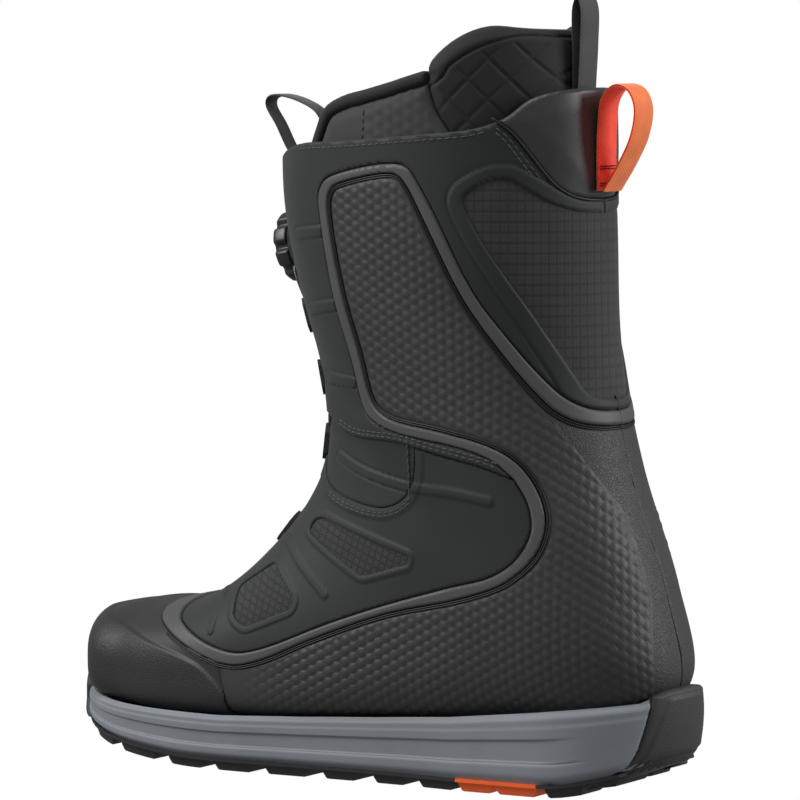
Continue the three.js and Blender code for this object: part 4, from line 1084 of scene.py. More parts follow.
def make_seam_bands():
    for label, which in SIDES:
        piece = skin(
            "seam_band_strip_" + label, MATERIALS["band_pu"],
            keep_inside(BAND_OUTLINE, which, -0.2, (out_of_throat,)),
            band_height, PANEL - 0.1, (0.08, 1.06), HALF[which], step=0.7,
        )
        set_detail(piece, np.full(len(piece.data.vertices), 0.25))
        settle(piece, "boot", ("seam_band_" + label,))
        # Two near-black cords sunk along the band's edge: their colour is painted shade of the two grooves
        # there, made as cords instead of cut grooves.
        cords = []
        edge_line = np.vstack([TOE_LINE[12:], QUARTER_LINE[1:]])
        for offset in (0.55, 1.35):
            path, _ = resampled(shifted(edge_line, -offset), 0.8)
            points, normals = line_on_side(path, which, -0.1)
            cords.append(tube(points, normals, 0.36, sides=8))
        vertices, faces = joined(cords)
        shade_cords = new_object("groove_shade_cords_" + label, vertices, faces, MATERIALS["black_cord_and_groove_shade"])
        settle(shade_cords, "boot")


# Embossed lines of the vamp and cuff: side-view line, half width, height.
VAMP_RIBS = (
    ([[-38, 99], [-33, 99], [-20, 90], [-4, 78]], 1.7, 0.55),
    ([[-66, 75], [-63, 74], [-61, 67], [-61, 59]], 1.5, 0.55),
    ([[-5, 136], [10, 131], [35, 126], [43, 125.5], [60, 124.5], [77, 122]], 1.9, 0.6),
)
CUFF_RIBS = (
    ([[-22, 230], [-2, 232]], 2.2, 0.5),
    ([[-19, 198], [3, 201]], 2.2, 0.5),
    ([[-13, 169], [7, 168]], 2.2, 0.5),
)


def ribs_height(points, ribs):
    flat = side(points)
    height = np.zeros(len(points))
    for line, half_width, tall in ribs:
        path = smooth_line(line, 4)
        near = (np.abs(flat - path.mean(0)) < np.ptp(path, axis=0) / 2 + 8).all(1)
        distance = distance_to(path, flat[near])
        groove = bump(np.abs(distance - half_width - 0.7), 0.4, 0.5)
        rib = tall * bump(distance, half_width, 0.9) - 0.25 * groove
        height[near] = np.where(np.abs(rib) > np.abs(height[near]), rib, height[near])
    return height


def frame_height(points, outline, width, tall):
    """Raised border round an opening, with a fine groove outside it."""
    distance = -distance_to(outline, side(points), closed=True)
    return tall * bump(distance, width, 0.8) - 0.2 * bump(np.abs(distance - width - 0.8), 0.4, 0.5)


def vamp_height(points, normals, edge):
    height = ribs_height(points, VAMP_RIBS)
    for window in (UPPER_WINDOW, LOWER_WINDOW):
        height = np.maximum(height, frame_height(points, window, 3.0, 0.5))
    strap_edge = -distance_to(STRAP, side(points), closed=True)
    height += 0.45 * bump(strap_edge, 4.6, 0.9)
    return height - 0.25 - rolled(edge, 0.8)


def make_vamp():
    keep = keep_inside(VAMP_OUTLINE, 0, -SEAM, (
        out_of_throat, outside(UPPER_WINDOW), outside(LOWER_WINDOW), outside(STRAP),
    ))
    piece = skin(
        "vamp_shell", MATERIALS["smooth_pu"], keep, vamp_height, PANEL, (0.14, 0.78), ALL_ROUND, step=0.92,
    )
    settle(piece, "boot", ("vamp",))


def make_windows():
    for label, which in SIDES:
        for key, outline in (("upper_window", UPPER_WINDOW), ("lower_window", LOWER_WINDOW)):
            piece = skin(
                key + "_mesh_" + label, MATERIALS["window_mesh"],
                keep_inside(outline, which, 0.8, (out_of_throat,)),
                lambda points, normals, edge: 0.15 * smooth_step(edge, 0.5, 4) - 0.75,
                1.6, (0.2, 0.6), HALF[which], step=0.9,
            )
            settle(piece, "boot", (key + "_" + label,))


def strap_height(points, normals, edge):
    return ribs_height(points, VAMP_RIBS[2:]) - 0.45 - rolled(edge, 0.8)


def make_straps():
    for label, which in SIDES:
        piece = skin(
            "ankle_strap_panel_" + label, MATERIALS["smooth_pu"],
            keep_inside(STRAP, which, -0.1, (out_of_throat,)),
            strap_height, PANEL - 0.2, (0.35, 0.7), HALF[which], step=0.8,
        )
        settle(piece, "boot", ("ankle_strap_" + label,))


def cuff_height(points, normals, edge):
    flat = side(points)
    height = ribs_height(points, CUFF_RIBS)
    panel = -distance_to(REAR_PANEL, flat, closed=True)
    height += 0.45 * bump(panel, 5.5, 1.0)
    ridge = 0.3 * bump(np.abs(panel - 6.2), 0.5, 0.8)
    hem = distance_to(HEM_LINE, flat)
    overlap = 0.9 * (1 - smooth_step(hem, 6, 14))
    return height - ridge + overlap - 0.1 - rolled(edge, 1.0)


def make_cuffs():
    for label, which in SIDES:
        keep = keep_inside(CUFF_OUTLINE, which, -SEAM, (
            out_of_throat, below_top, outside(REAR_PANEL), outside(COLLAR_OUTLINE, -SEAM),
        ))
        piece = skin(
            "cuff_shell_" + label, MATERIALS["smooth_pu"], keep,
            cuff_height, PANEL, (0.45, 1.08), HALF[which], step=0.9,
        )
        settle(piece, "boot", ("cuff_" + label,))


def make_rear_panel():
    piece = skin(
        "rear_panel_fabric", MATERIALS["woven"], keep_inside(REAR_PANEL, 0, 0.8),
        lambda points, normals, edge: 0.2 * smooth_step(edge, 0.5, 6) - 0.55,
        1.4, (0.66, 1.0), BEHIND, step=1.2,
    )
    settle(piece, "boot", ("rear_panel",))


def make_collar():
    piece = skin(
        "collar_shell", MATERIALS["satin_pu"],
        keep_inside(COLLAR_OUTLINE, 0, -SEAM, (below_top,)),
        lambda points, normals, edge: 0.9 * smooth_step(edge, 0.0, 9.0) - 0.2 - rolled(edge, 1.2),
        PANEL, (0.85, 1.08), BEHIND, step=0.9,
    )
    settle(piece, "boot", ("collar",))


make_toe_cap()
make_quarters()
make_seam_bands()
make_vamp()
make_windows()
make_straps()
make_cuffs()
make_rear_panel()
make_collar()

# ---------------------------------------------------------------- sole
SOLE_OUTLINE = smooth_line([
    [0, 145.7], [14, 143.5], [26, 137], [37, 123.5], [44.5, 104], [45.5, 70], [45.5, 40], [47.5, 10],
    [51, -20], [55.5, -50], [56, -80], [51, -110], [37, -133], [14, -148], [-8, -152], [-28, -149],
    [-46, -138], [-56, -115], [-58, -85], [-53, -50], [-46, 0], [-43, 50], [-42, 100], [-36, 124],
    [-25, 137], [-13, 143.8],
], 10, closed=True)
LUG_HEIGHT = 4.2
PLATE = 1.4
TIP_THICKNESS = 2.0
TIP_BULGE = 0.8
HEEL_EDGE = smooth_line([
    [141, 60], [140.8, 42], [139.5, 34], [138, 26], [135.5, 17.5], [131, 11.5], [126, 8.5], [116, 6.3],
    [100, 5],
])
RIBS_EDGE = np.array([[100, 6], [118, 9], [132, 14.5], [152, 20]])


def plan_line():
    """Sole outline at even steps, clockwise from the heel over the outer side, and its normals."""
    ring = np.vstack([SOLE_OUTLINE, SOLE_OUTLINE[:1]])
    line, places = resampled(ring, 1.1)
    line = line[:-1]
    ahead = np.roll(line, -1, 0) - np.roll(line, 1, 0)
    ahead /= np.linalg.norm(ahead, axis=1, keepdims=True)
    return line, np.stack([-ahead[:, 1], ahead[:, 0]], 1), places[:-1]


PLAN, PLAN_NORMALS, PLAN_PLACES = plan_line()
PLAN_LENGTH = PLAN_PLACES[-1] + 1.1


def ground(y):
    return np.interp(y, GROUND_LINE[:, 0], GROUND_LINE[:, 1])


def rim(y):
    return np.interp(y, *RIM_LINE.T)


def on_plan(place):
    """Plan point and outward normal at a length along the sole outline."""
    wrapped = np.mod(place, PLAN_LENGTH)
    spot, normal = (
        np.stack([np.interp(wrapped, PLAN_PLACES, known[:, k], period=PLAN_LENGTH) for k in (0, 1)], 1)
        for known in (PLAN, PLAN_NORMALS)
    )
    return spot, normal / np.linalg.norm(normal, axis=1, keepdims=True)


def behind_edge(y, z, edge=HEEL_EDGE):
    """Positive behind the front edge of the heel wrap."""
    flat = np.stack([y, z], 1)
    distance = distance_to(edge, flat)
    order = np.argsort(edge[:, 1])
    behind = y > np.interp(z, edge[order, 1], edge[order, 0])
    return np.where(behind, distance, -distance)


def midsole_offset(y, share):
    """How far the wall stands out, from the foot (share 0) to the rim (share 1)."""
    pocket_end = smooth_step(y, 96, 118)
    upper = 1.0 * (1 - smooth_step(share, 0.60, 0.64)) * (1 - pocket_end)
    lower = 0.9 * smooth_step(share, 0.28, 0.33) * (1 - pocket_end)
    strip = 0.55 * (1 - smooth_step(share, 0.76, 0.82))
    top = 1.9 * smooth_step(share, 0.86, 1.0) ** 2
    foot = 1.6 * (1 - smooth_step(share, 0.0, 0.16)) ** 2
    recess = np.minimum(upper, lower)
    groove = 0.5 * np.exp(-((share - 0.285) / 0.014) ** 2) * (1 - smooth_step(y, 108, 122))
    return 0.3 - recess + strip * 0.6 - top - foot - groove


def ring_solid(name, rings, material):
    """Closed solid from stacked rings with the same number of points, capped at both ends."""
    count = len(rings[0])
    vertices = np.vstack(rings)
    faces = []
    for level in range(len(rings) - 1):
        low = level * count
        for i in range(count):
            j = (i + 1) % count
            faces.append((low + j, low + i, low + count + i, low + count + j))
    for ring, flip in ((0, True), (len(rings) - 1, False)):
        outline = [Vector(p) for p in rings[ring]]
        for a, b, c in geometry.tessellate_polygon([outline]):
            up = np.cross(rings[ring][b] - rings[ring][a], rings[ring][c] - rings[ring][a])[2] > 0
            corners = (a, b, c) if up != flip else (a, c, b)
            faces.append(tuple(ring * count + k for k in corners))
    return new_object(name, vertices, faces, material)


def make_midsole():
    rings = []
    y = PLAN[:, 1]
    low = ground(y) + LUG_HEIGHT + PLATE
    high = rim(y)
    floor_ring = PLAN - PLAN_NORMALS * 7.0
    rings.append(np.column_stack([floor_ring, low + 0.3]))
    shares = np.concatenate([np.linspace(0, 0.26, 9), np.linspace(0.27, 0.35, 8), np.linspace(0.4, 0.58, 4),
                             np.linspace(0.6, 0.65, 5), np.linspace(0.7, 0.84, 8), np.linspace(0.86, 1, 9)])
    for share in shares:
        z = low + share * (high - low)
        under_wrap = 2.4 * smooth_step(behind_edge(y, z), -0.6, 0.2)
        offset = midsole_offset(y, share) - under_wrap
        rings.append(np.column_stack([PLAN + PLAN_NORMALS * offset[:, None], z]))
    for inwards, drop in ((3.2, 0.3), (6.0, 1.5), (9.0, 5.0)):
        rings.append(np.column_stack([PLAN - PLAN_NORMALS * inwards, high - drop]))
    piece = ring_solid("midsole_foam", rings, MATERIALS["foam"])
    settle(piece, "boot", ("midsole",))


def make_heel_wrap():
    places = np.arange(-62, 62, 0.7)
    heights = np.arange(0, 48, 0.7)

    def level_at(z, place):
        spot, _ = on_plan(place)
        y = spot[:, 1]
        top = rim(y) + 0.6
        bottom = ground(y) + 1.0
        return np.minimum(np.minimum(behind_edge(y, z), top - z), z - bottom)

    z, place, faces = cut_grid(heights, places, level_at)
    spot, normal = on_plan(place)
    y = spot[:, 1]
    edge = np.maximum(level_at(z, place), 0)
    inset_panel = 0.8 * smooth_step(edge, 2.2, 3.6) * smooth_step(z - np.interp(y, *RIBS_EDGE.T), -0.5, 1.2)
    bevel = np.maximum(np.interp(y, *RIBS_EDGE.T) - z, 0)
    waves = 0.5 * np.sin((place * 0.9 + z * 1.5) * 1.7)
    ribs = waves * smooth_step(bevel, 0.4, 1.6) * smooth_step(edge, 0.4, 1.4)
    taper = 0.0035 * np.maximum(40 - z, 0) ** 2 * smooth_step(y, 100, 135)
    offset = 0.9 + inset_panel - 0.6 * bevel + ribs - taper - rolled(edge, 1.6)
    top = np.column_stack([spot + normal * offset[:, None], z])
    bottom = np.column_stack([spot - normal * 5.5, z])
    bottom[:, 2] = np.maximum(bottom[:, 2], ground(y) + 1.2)
    vertices, all_faces = closed_sheet(top, bottom, faces[:, ::-1])
    piece = new_object("heel_wrap_rubber", vertices, all_faces, MATERIALS["wrap_rubber"])
    settle(piece, "boot", ("outsole_heel",))


TOE_GUARD_Y = -143.5    # how far back the toe guard reaches at the rim


def make_toe_guard():
    """Rubber that turns up from the tread in front of the toes."""
    places = PLAN_LENGTH / 2 + np.arange(-60, 60, 0.7)
    heights = np.arange(4, 44, 0.7)

    def level_at(z, place):
        spot, _ = on_plan(place)
        y = spot[:, 1]
        above = np.maximum(z - rim(y), 0)
        back = TOE_GUARD_Y - 0.25 * above + 0.35 * np.maximum(rim(y) - 6 - z, 0) - y
        return np.minimum(np.minimum(back, rim(y) + 9.5 - z), z - ground(y) - 1.5)

    z, place, faces = cut_grid(heights, places, level_at)
    spot, normal = on_plan(place)
    edge = np.maximum(level_at(z, place), 0)
    lean = 0.012 * np.maximum(z - 26, 0) ** 2
    foot = 1.6 * (1 - smooth_step(z, ground(spot[:, 1]), ground(spot[:, 1]) + 6)) ** 2
    offset = 2.6 - lean - foot - rolled(edge, 1.2)
    top = np.column_stack([spot + normal * offset[:, None], z])
    bottom = np.column_stack([spot - normal * (3.5 + lean)[:, None], z])
    vertices, all_faces = closed_sheet(top, bottom, faces[:, ::-1])
    piece = new_object("toe_guard_rubber", vertices, all_faces, MATERIALS["rubber"])
    settle(piece, "boot")


def half_widths(y):
    """Sole outline's inner and outer x at y."""
    inner = []
    outer = []
    for value in np.atleast_1d(y):
        crossing = []
        for a, b in zip(PLAN, np.roll(PLAN, -1, 0)):
            if (a[1] - value) * (b[1] - value) < 0:
                crossing.append(a[0] + (value - a[1]) / (b[1] - a[1]) * (b[0] - a[0]))
        inner.append(min(crossing) if crossing else -5.0)
        outer.append(max(crossing) if crossing else 5.0)
    return np.array(inner), np.array(outer)


def slab(y_low, y_high, margin, z_low, z_high):
    """Thin plate that follows the tread line between two places along the sole."""
    stations = np.linspace(y_low, y_high, max(int((y_high - y_low) / 2.5), 3))
    inner, outer = half_widths(stations)
    across = np.linspace(0, 1, 9)
    loops = []
    for y, a, b in zip(stations, inner + margin, outer - margin):
        x = a + across * (b - a)
        base = ground(y)
        low = np.column_stack([x, np.full(9, y), np.full(9, base + z_low)])
        high = np.column_stack([x[::-1], np.full(9, y), np.full(9, base + z_high)])
        loops.append(np.vstack([low, high]))
    count = 18
    faces = []
    for i in range(len(loops) - 1):
        for k in range(count):
            m = (k + 1) % count
            faces.append((i * count + k, i * count + m, (i + 1) * count + m, (i + 1) * count + k))
    last = (len(loops) - 1) * count
    faces.append(tuple(range(count))[::-1])
    faces.append(tuple(last + k for k in range(count)))
    return np.vstack(loops), faces


def lug(y_low, y_high, x_low, x_high):
    """Tread block with sloping ends; x_low and x_high give its sides at a y, z counts from the ground."""
    rows = np.linspace(y_low, y_high, 4)
    levels = ((LUG_HEIGHT + 0.4, 0.0), (LUG_HEIGHT * 0.62, 0.45), (0.35, 1.5), (0.0, 2.1))
    rings = []
    for z, draft in levels:
        stretched = y_low + draft + (rows - y_low) / (y_high - y_low) * (y_high - y_low - 2 * draft)
        low = np.array([x_low(y) for y in stretched]) + draft * 0.8
        high = np.array([x_high(y) for y in stretched]) - draft * 0.8
        xs = np.concatenate([low, high[::-1]])
        ys = np.concatenate([stretched, stretched[::-1]])
        rings.append(np.column_stack([xs, ys, ground(ys) + z]))
    count = 8
    faces = []
    for level in range(len(rings) - 1):
        first, above = level * count, (level + 1) * count
        for k in range(count):
            m = (k + 1) % count
            faces.append((first + k, first + m, above + m, above + k))
    faces.append(tuple(range(count))[::-1])
    faces.append(tuple((len(rings) - 1) * count + k for k in range(count)))
    return np.vstack(rings), faces


OUTER_X = (np.arange(-150, 151, 3.0), half_widths(np.arange(-150, 151, 3.0)))
TREAD_GROOVE = 17.0
LUG_ROWS = (
    (-129, -114), (-108, -87), (-80, -62), (-56, -38), (-32, -12), (-5, 11), (19, 34.5), (41, 58),
    (60.5, 77), (78.5, 98.5), (102, 118), (121, 134),
)


def inner_x(y):
    return float(np.interp(y, OUTER_X[0], OUTER_X[1][0])) + 1.2


def outer_x(y):
    return float(np.interp(y, OUTER_X[0], OUTER_X[1][1])) - 1.2


def lug_row(y_low, y_high):
    """Outer, middle and inner block of one row."""
    blocks = [
        lug(y_low, y_high, inner_x, lambda y: -TREAD_GROOVE - 3),
        lug(y_low + 2, y_high + 2, lambda y: -TREAD_GROOVE + 3, lambda y: TREAD_GROOVE - 3),
        lug(y_low, y_high, lambda y: TREAD_GROOVE + 3, outer_x),
    ]
    return blocks


def make_outsole():
    insert = (60.0, 99.0)
    groups = (
        ("outsole_front_tread", "rubber", (-150, insert[0] - 0.3), ("outsole_front",)),
        ("outsole_insert_tread", "orange_rubber", insert, ("outsole_insert",)),
        ("outsole_heel_tread", "rubber", (insert[1] + 0.3, 131), ()),
    )
    for name, key, (low, high), nodes in groups:
        parts = [slab(low, high, -0.35, LUG_HEIGHT, LUG_HEIGHT + PLATE)]
        for row in LUG_ROWS:
            if low - 1 < row[0] and row[1] < high + 1:
                parts += lug_row(*row)
        vertices, faces = joined(parts)
        piece = new_object(name, vertices, faces, MATERIALS[key], math.radians(25))
        settle(piece, "boot", nodes)


def make_toe_bumper():
    def keep(points):
        top = 38 - (points[:, 1] + 149) * 0.8
        level = np.minimum(np.minimum(top, 38) - points[:, 2], -136 - points[:, 1])
        return np.minimum(level, points[:, 2] - rim(points[:, 1]) + 2)
    piece = skin(
        "toe_bumper_rubber", MATERIALS["rubber"], keep,
        lambda points, normals, edge: 1.5 - rolled(edge, 1.2), 0.1, (0.0, 0.2), ALL_ROUND, step=0.9,
    )
    settle(piece, "boot", ("toe_bumper",))


def make_toe_tip():
    """Closes the small end of the form in front of the toes."""
    count = 40
    turns = 2 * math.pi * np.arange(count) / count
    rim_ring = form_points(np.full(count, 0.004), turns)
    centre = rim_ring.mean(0)
    vertices = []
    for deep in (0.0, TIP_THICKNESS):
        for share in (1.12, 0.9, 0.65, 0.4, 0.15):
            ring = centre + share * (rim_ring - centre)
            ring[:, 1] += deep - TIP_BULGE * (1 - share ** 2 / 1.3)
            vertices.append(ring)
    order = [0, 1, 2, 3, 4, 9, 8, 7, 6, 5]
    faces = []
    for a, b in zip(order, order[1:] + order[:1]):
        if {a, b} == {4, 9}:
            continue
        for k in range(count):
            m = (k + 1) % count
            faces.append((a * count + k, a * count + m, b * count + m, b * count + k))
    faces.append(tuple(4 * count + k for k in range(count)))
    faces.append(tuple(9 * count + k for k in range(count))[::-1])
    piece = new_object("toe_tip", np.vstack(vertices), faces, MATERIALS["grained_pu"])
    settle(piece, "boot")


make_midsole()
make_heel_wrap()
make_toe_tip()
make_toe_guard()
make_outsole()
make_toe_bumper()

# ---------------------------------------------------------------- tongue and inner boot
STIFFENER_DEPTH = 2.5
TONGUE_HALF = [[36, 261], [36, 200], [33, 150], [33, 110], [30, 90], [20, 76], [0, 71]]
TONGUE = np.array(TONGUE_HALF + [[-x, z] for x, z in reversed(TONGUE_HALF[:-1])], float)
LINER_TOP_LINE = smooth_line([
    [-90, 258], [-46, 260], [-18, 263], [-10, 274], [-4, 284], [6, 288], [19, 291], [50, 298],
    [54, 304], [66, 313], [80, 318], [95, 317], [150, 314],
])
LINER_TOP = np.vstack([LINER_TOP_LINE, [[FAR, -50]], [[-200, -50]], [[-200, 258]]])
BINDING_LINE = smooth_line([
    [-40, 259.5], [-18, 262], [-11, 272], [-5, 281.5], [5, 286], [19, 289], [50, 296.5],
])
BINDING_HALF = 3.0
LINER_COLLAR = np.array([
    [52, 340], [52, 294], [56, 283], [68, 266], [74, 252], [FAR, 252], [FAR, 340],
], float)
LINER_SPLIT_Y = 18.0


def in_front(points, outline):
    front = np.where(points[:, 1] < 8, 0.0, -60.0)
    return front + distance_to(outline, points[:, [0, 2]], closed=True)


def make_tongue():
    def height(points, normals, edge):
        flex = np.abs(np.mod(points[:, 2], 13.0) - 6.5)
        return 0.35 * smooth_step(flex, 0.6, 1.8) - 0.15 - rolled(edge, 1.0)
    piece = skin(
        "tongue_shell", MATERIALS["window_mesh"], lambda points: in_front(points, TONGUE),
        height, 1.3, (0.18, 1.02), (-1.35, 1.35), step=1.1, depth=STIFFENER_DEPTH,
    )
    settle(piece, "boot", ("tongue",))


def below_liner_top(points):
    return distance_to(LINER_TOP, side(points), closed=True)


def binding_distance(points):
    return distance_to(BINDING_LINE, side(points))


def out_of_binding(points):
    return binding_distance(points) - BINDING_HALF


def liner_height(points, normals, edge):
    cells = comb_cells(points[:, 1] - 3, points[:, 2], 5.4)
    comb = smooth_step(cells, 0.15, 1.5) * smooth_step(points[:, 1], LINER_SPLIT_Y, LINER_SPLIT_Y + 2)
    strip = distance_to(LINER_COLLAR[1:5], side(points))
    plain = 1 - bump(strip, 6.0, 1.5)
    puff = 0.8 * smooth_step(edge, 0.0, 5.0)
    return 0.35 * comb * plain + puff - 0.4 - rolled(edge, 1.0)


def make_liner():
    low = 142.0
    zone = 27.0

    def keep_shaft(points):
        level = np.minimum(below_liner_top(points), points[:, 2] - low)
        level = np.minimum(level, out_of_binding(points))
        level = np.minimum(level, -distance_to(LINER_COLLAR, side(points), closed=True))
        front = np.where(points[:, 1] < 0, np.abs(points[:, 0]) - zone, 20.0)
        return np.minimum(level, front)

    piece = skin(
        "liner_shaft_padding", MATERIALS["liner_grey"], keep_shaft,
        liner_height, LINER_WALL, (0.44, 1.09), BEHIND, step=1.3, depth=LINER_DEPTH,
    )
    settle(piece, "boot", ("liner_shaft",))

    def keep_tongue(points):
        level = np.minimum(below_liner_top(points), points[:, 2] - low)
        front = np.where(points[:, 1] < 0, zone - 0.3 - np.abs(points[:, 0]), -20.0)
        return np.minimum(np.minimum(level, front), out_of_binding(points))

    piece = skin(
        "liner_tongue_padding", MATERIALS["liner_grey"], keep_tongue,
        lambda points, normals, edge: 0.8 * smooth_step(edge, 0, 6) - 0.4 - rolled(edge, 1.5),
        LINER_WALL, (0.44, 1.05), (-1.2, 1.2), step=1.5, depth=LINER_DEPTH,
    )
    settle(piece, "boot", ("liner_tongue",))

    def keep_foot(which):
        def keep(points):
            level = np.minimum(low - 0.3 - points[:, 2], points[:, 2] - 20)
            return np.minimum(level, which * (points[:, 1] - 14))
        return keep

    halves = (("liner_heel_padding", 1, "liner_heel"), ("liner_front_padding", -1, "liner_front"))
    for name, which, node in halves:
        piece = skin(
            name, MATERIALS["liner_black"], keep_foot(which),
            lambda points, normals, edge: -0.3 - rolled(edge, 1.2),
            LINER_WALL, (0.02, 0.75), ALL_ROUND, step=2.2, depth=LINER_DEPTH,
        )
        settle(piece, "boot", (node,))


def make_binding():
    piece = skin(
        "liner_edge_binding", MATERIALS["liner_black"],
        lambda points: np.minimum(BINDING_HALF - 0.1 - binding_distance(points), 52 - points[:, 1]),
        lambda points, normals, edge: 0.9 - rolled(edge, 2.4),
        LINER_WALL + 0.6, (0.86, 1.09), (-2.2, 2.2), step=0.8, depth=LINER_DEPTH,
    )
    settle(piece, "boot", ("liner_binding",))


QUILT = 11.0         # side of a quilted diamond
ROLL_BAND = 4.5      # height of the collar's rolled top


def quilt_lines(points):
    """Distance from the nearest line of the diamond quilting."""
    along = way_round(points)
    first = np.mod(along * 0.76 + points[:, 2] * 0.65, QUILT)
    second = np.mod(along * 0.76 - points[:, 2] * 0.65, QUILT)
    return np.minimum(np.minimum(first, QUILT - first), np.minimum(second, QUILT - second))


def keep_liner_collar(points):
    level = distance_to(LINER_COLLAR, side(points), closed=True) - 0.2
    return np.minimum(np.minimum(level, below_liner_top(points)), out_of_binding(points))


def collar_height(points, normals, edge):
    top = distance_to(LINER_TOP_LINE, side(points))
    seam = bump(np.abs(top - ROLL_BAND), 0.4, 1.2)
    body = smooth_step(top, ROLL_BAND + 1, ROLL_BAND + 4)
    puff = 2.0 * smooth_step(edge, 0.0, 6.0)
    lines = 0.55 * (1 - smooth_step(quilt_lines(points), 0.0, 1.1)) * body
    return puff - lines - 1.1 * seam - 0.3 - rolled(edge, 2.2)


def make_liner_collar():
    piece = skin(
        "liner_collar_pad", MATERIALS["liner_black"], keep_liner_collar,
        collar_height, LINER_WALL - 0.5, (0.88, 1.095), (1.0, 2 * math.pi - 1.0), step=0.8, depth=LINER_DEPTH,
    )
    settle(piece, "boot", ("liner_collar",))


COUNTER = np.array([[70, 36], [180, 36], [180, 120], [105, 120], [92, 100], [72, 70]], float)


def make_heel_counter():
    """Stiff sheet between the quarters and the inner boot."""
    piece = skin(
        "heel_counter_sheet", MATERIALS["stiffener"],
        lambda points: distance_to(COUNTER, side(points), closed=True),
        lambda points, normals, edge: -rolled(edge, 0.5),
        1.2, (0.4, 0.78), BEHIND, step=2.2, depth=STIFFENER_DEPTH + 0.2,
    )
    settle(piece, "boot", ("heel_counter",))


FOOTBED_ROWS = 60
FOOTBED_COLUMNS = 15


def make_footbed():
    s = np.linspace(0.06, 0.555, FOOTBED_ROWS)
    heel_taper = np.sqrt(1 - np.clip((s - 0.46) / 0.105, 0, 1) ** 2)
    share = np.linspace(-1, 1, FOOTBED_COLUMNS)
    row = section_at(s)
    width = (row[:, 5] - 11.5) * heel_taper
    heel = form_points(s, np.full(FOOTBED_ROWS, math.pi), LINER_DEPTH + LINER_WALL + 0.3)
    vertices = []
    for lift, shrink in ((0.2, 0.985), (4.2, 1.0)):
        for k in range(FOOTBED_ROWS):
            for u in share:
                edge_rise = 3.5 * abs(u) ** 4
                x = row[k, 9] + u * width[k] * shrink * min(1.0, 0.45 + 6 * (s[k] - 0.05))
                vertices.append((x, heel[k, 1], heel[k, 2] + lift + edge_rise))
    count = FOOTBED_ROWS * FOOTBED_COLUMNS
    grid = np.arange(count).reshape(FOOTBED_ROWS, FOOTBED_COLUMNS)
    quads = np.stack([grid[:-1, :-1], grid[:-1, 1:], grid[1:, 1:], grid[1:, :-1]], -1).reshape(-1, 4)
    rim_loop = list(grid[0]) + list(grid[1:, -1]) + list(grid[-1, -2::-1]) + list(grid[-2:0:-1, 0])
    faces = quads.tolist() + (quads[:, ::-1] + count).tolist()
    for a, b in zip(rim_loop, rim_loop[1:] + rim_loop[:1]):
        faces.append((int(b), int(a), int(a) + count, int(b) + count))
    piece = new_object("footbed_sheet", vertices, [tuple(f[::-1]) for f in faces], MATERIALS["liner_grey"])
    settle(piece, "boot", ("footbed",))


# ---------------------------------------------------------------- webbing
def ribbon(points, thickness, width, offset=0.0):
    """Webbing along a side-view line: rounded edges, as wide as width in x."""
    line = smooth_line(points, 8)
    line, _ = resampled(line, 0.8)
    line = shifted(line, offset)
    ahead = np.gradient(line, axis=0)
    ahead /= np.linalg.norm(ahead, axis=1, keepdims=True)
    normal = np.stack([-ahead[:, 1], ahead[:, 0]], 1)
    half = width / 2
    steps = 13
    xs = np.concatenate([np.linspace(-half, half, steps), np.linspace(half, -half, steps)])
    sides_of = np.concatenate([np.ones(steps), -np.ones(steps)])
    soft = np.sqrt(np.clip(1 - (np.abs(xs) / half) ** 14, 0.02, 1))
    rings = []
    for spot, way in zip(line, normal):
        flat = spot[None, :] + (sides_of * soft * thickness / 2)[:, None] * way[None, :]
        rings.append(np.column_stack([xs, flat]))
    count = 2 * steps
    faces = []
    for i in range(len(rings) - 1):
        for k in range(count):
            m = (k + 1) % count
            faces.append((i * count + k, i * count + m, (i + 1) * count + m, (i + 1) * count + k))
    faces.append(tuple(range(count))[::-1])
    faces.append(tuple((len(rings) - 1) * count + k for k in range(count)))
    return np.vstack(rings), faces


def heel_line_place(s, depth=0.0):
    return form_points(np.array([s]), np.array([math.pi]), depth)[0, 1:]


PULL_WIDTH = 15.0
HEEL_PULL_STATION = 0.944
LINER_PULL_STATION = 0.985
TONGUE_PULL_STATION = 0.94


def make_pulls():
    heel = heel_line_place(HEEL_PULL_STATION)
    route = np.array([
        [1.3, 0], [1.2, 14], [1.6, 28], [3.2, 38], [8.5, 43.5], [15, 42], [18.6, 35], [17, 23],
        [11, 11], [3.8, 0],
    ]) + heel
    lining = new_object("heel_pull_lining", *ribbon(route, 0.7, PULL_WIDTH, -0.36), MATERIALS["red_webbing"])
    settle(lining, "heel_pull", ("heel_pull",))
    face = new_object("heel_pull_face", *ribbon(route, 0.7, PULL_WIDTH, 0.36), MATERIALS["orange_webbing"])
    settle(face, "heel_pull")
    back = form_points(np.array([LINER_PULL_STATION]), np.array([math.pi]), LINER_DEPTH)[0, 1:]
    route = np.array([
        [1.3, 0], [1.3, 12], [1.1, 28], [1.2, 43], [3, 47], [4.9, 43], [4.9, 28], [4, 12], [3.5, 0],
    ]) + back + [0.6, 0]
    piece = new_object("liner_pull_webbing", *ribbon(route, 1.4, PULL_WIDTH), MATERIALS["grey_webbing"])
    settle(piece, "liner_pull", ("liner_pull",))
    front = form_points(np.array([TONGUE_PULL_STATION]), np.array([0.0]), STIFFENER_DEPTH)[0, 1:]
    route = np.array([
        [-1.2, 0], [-6.8, 6], [-12.8, 16.5], [-18.3, 25.5], [-17.3, 28.5], [-11.8, 29.5], [-0.8, 27],
        [8, 22], [11.5, 14], [10.5, 6],
    ]) + front
    piece = new_object("tongue_pull_webbing", *ribbon(route, 1.2, 9.0), MATERIALS["grey_webbing"])
    settle(piece, "boot", ("tongue_pull",))


make_tongue()
make_liner()
make_binding()
make_liner_collar()
make_heel_counter()
make_footbed()
make_pulls()

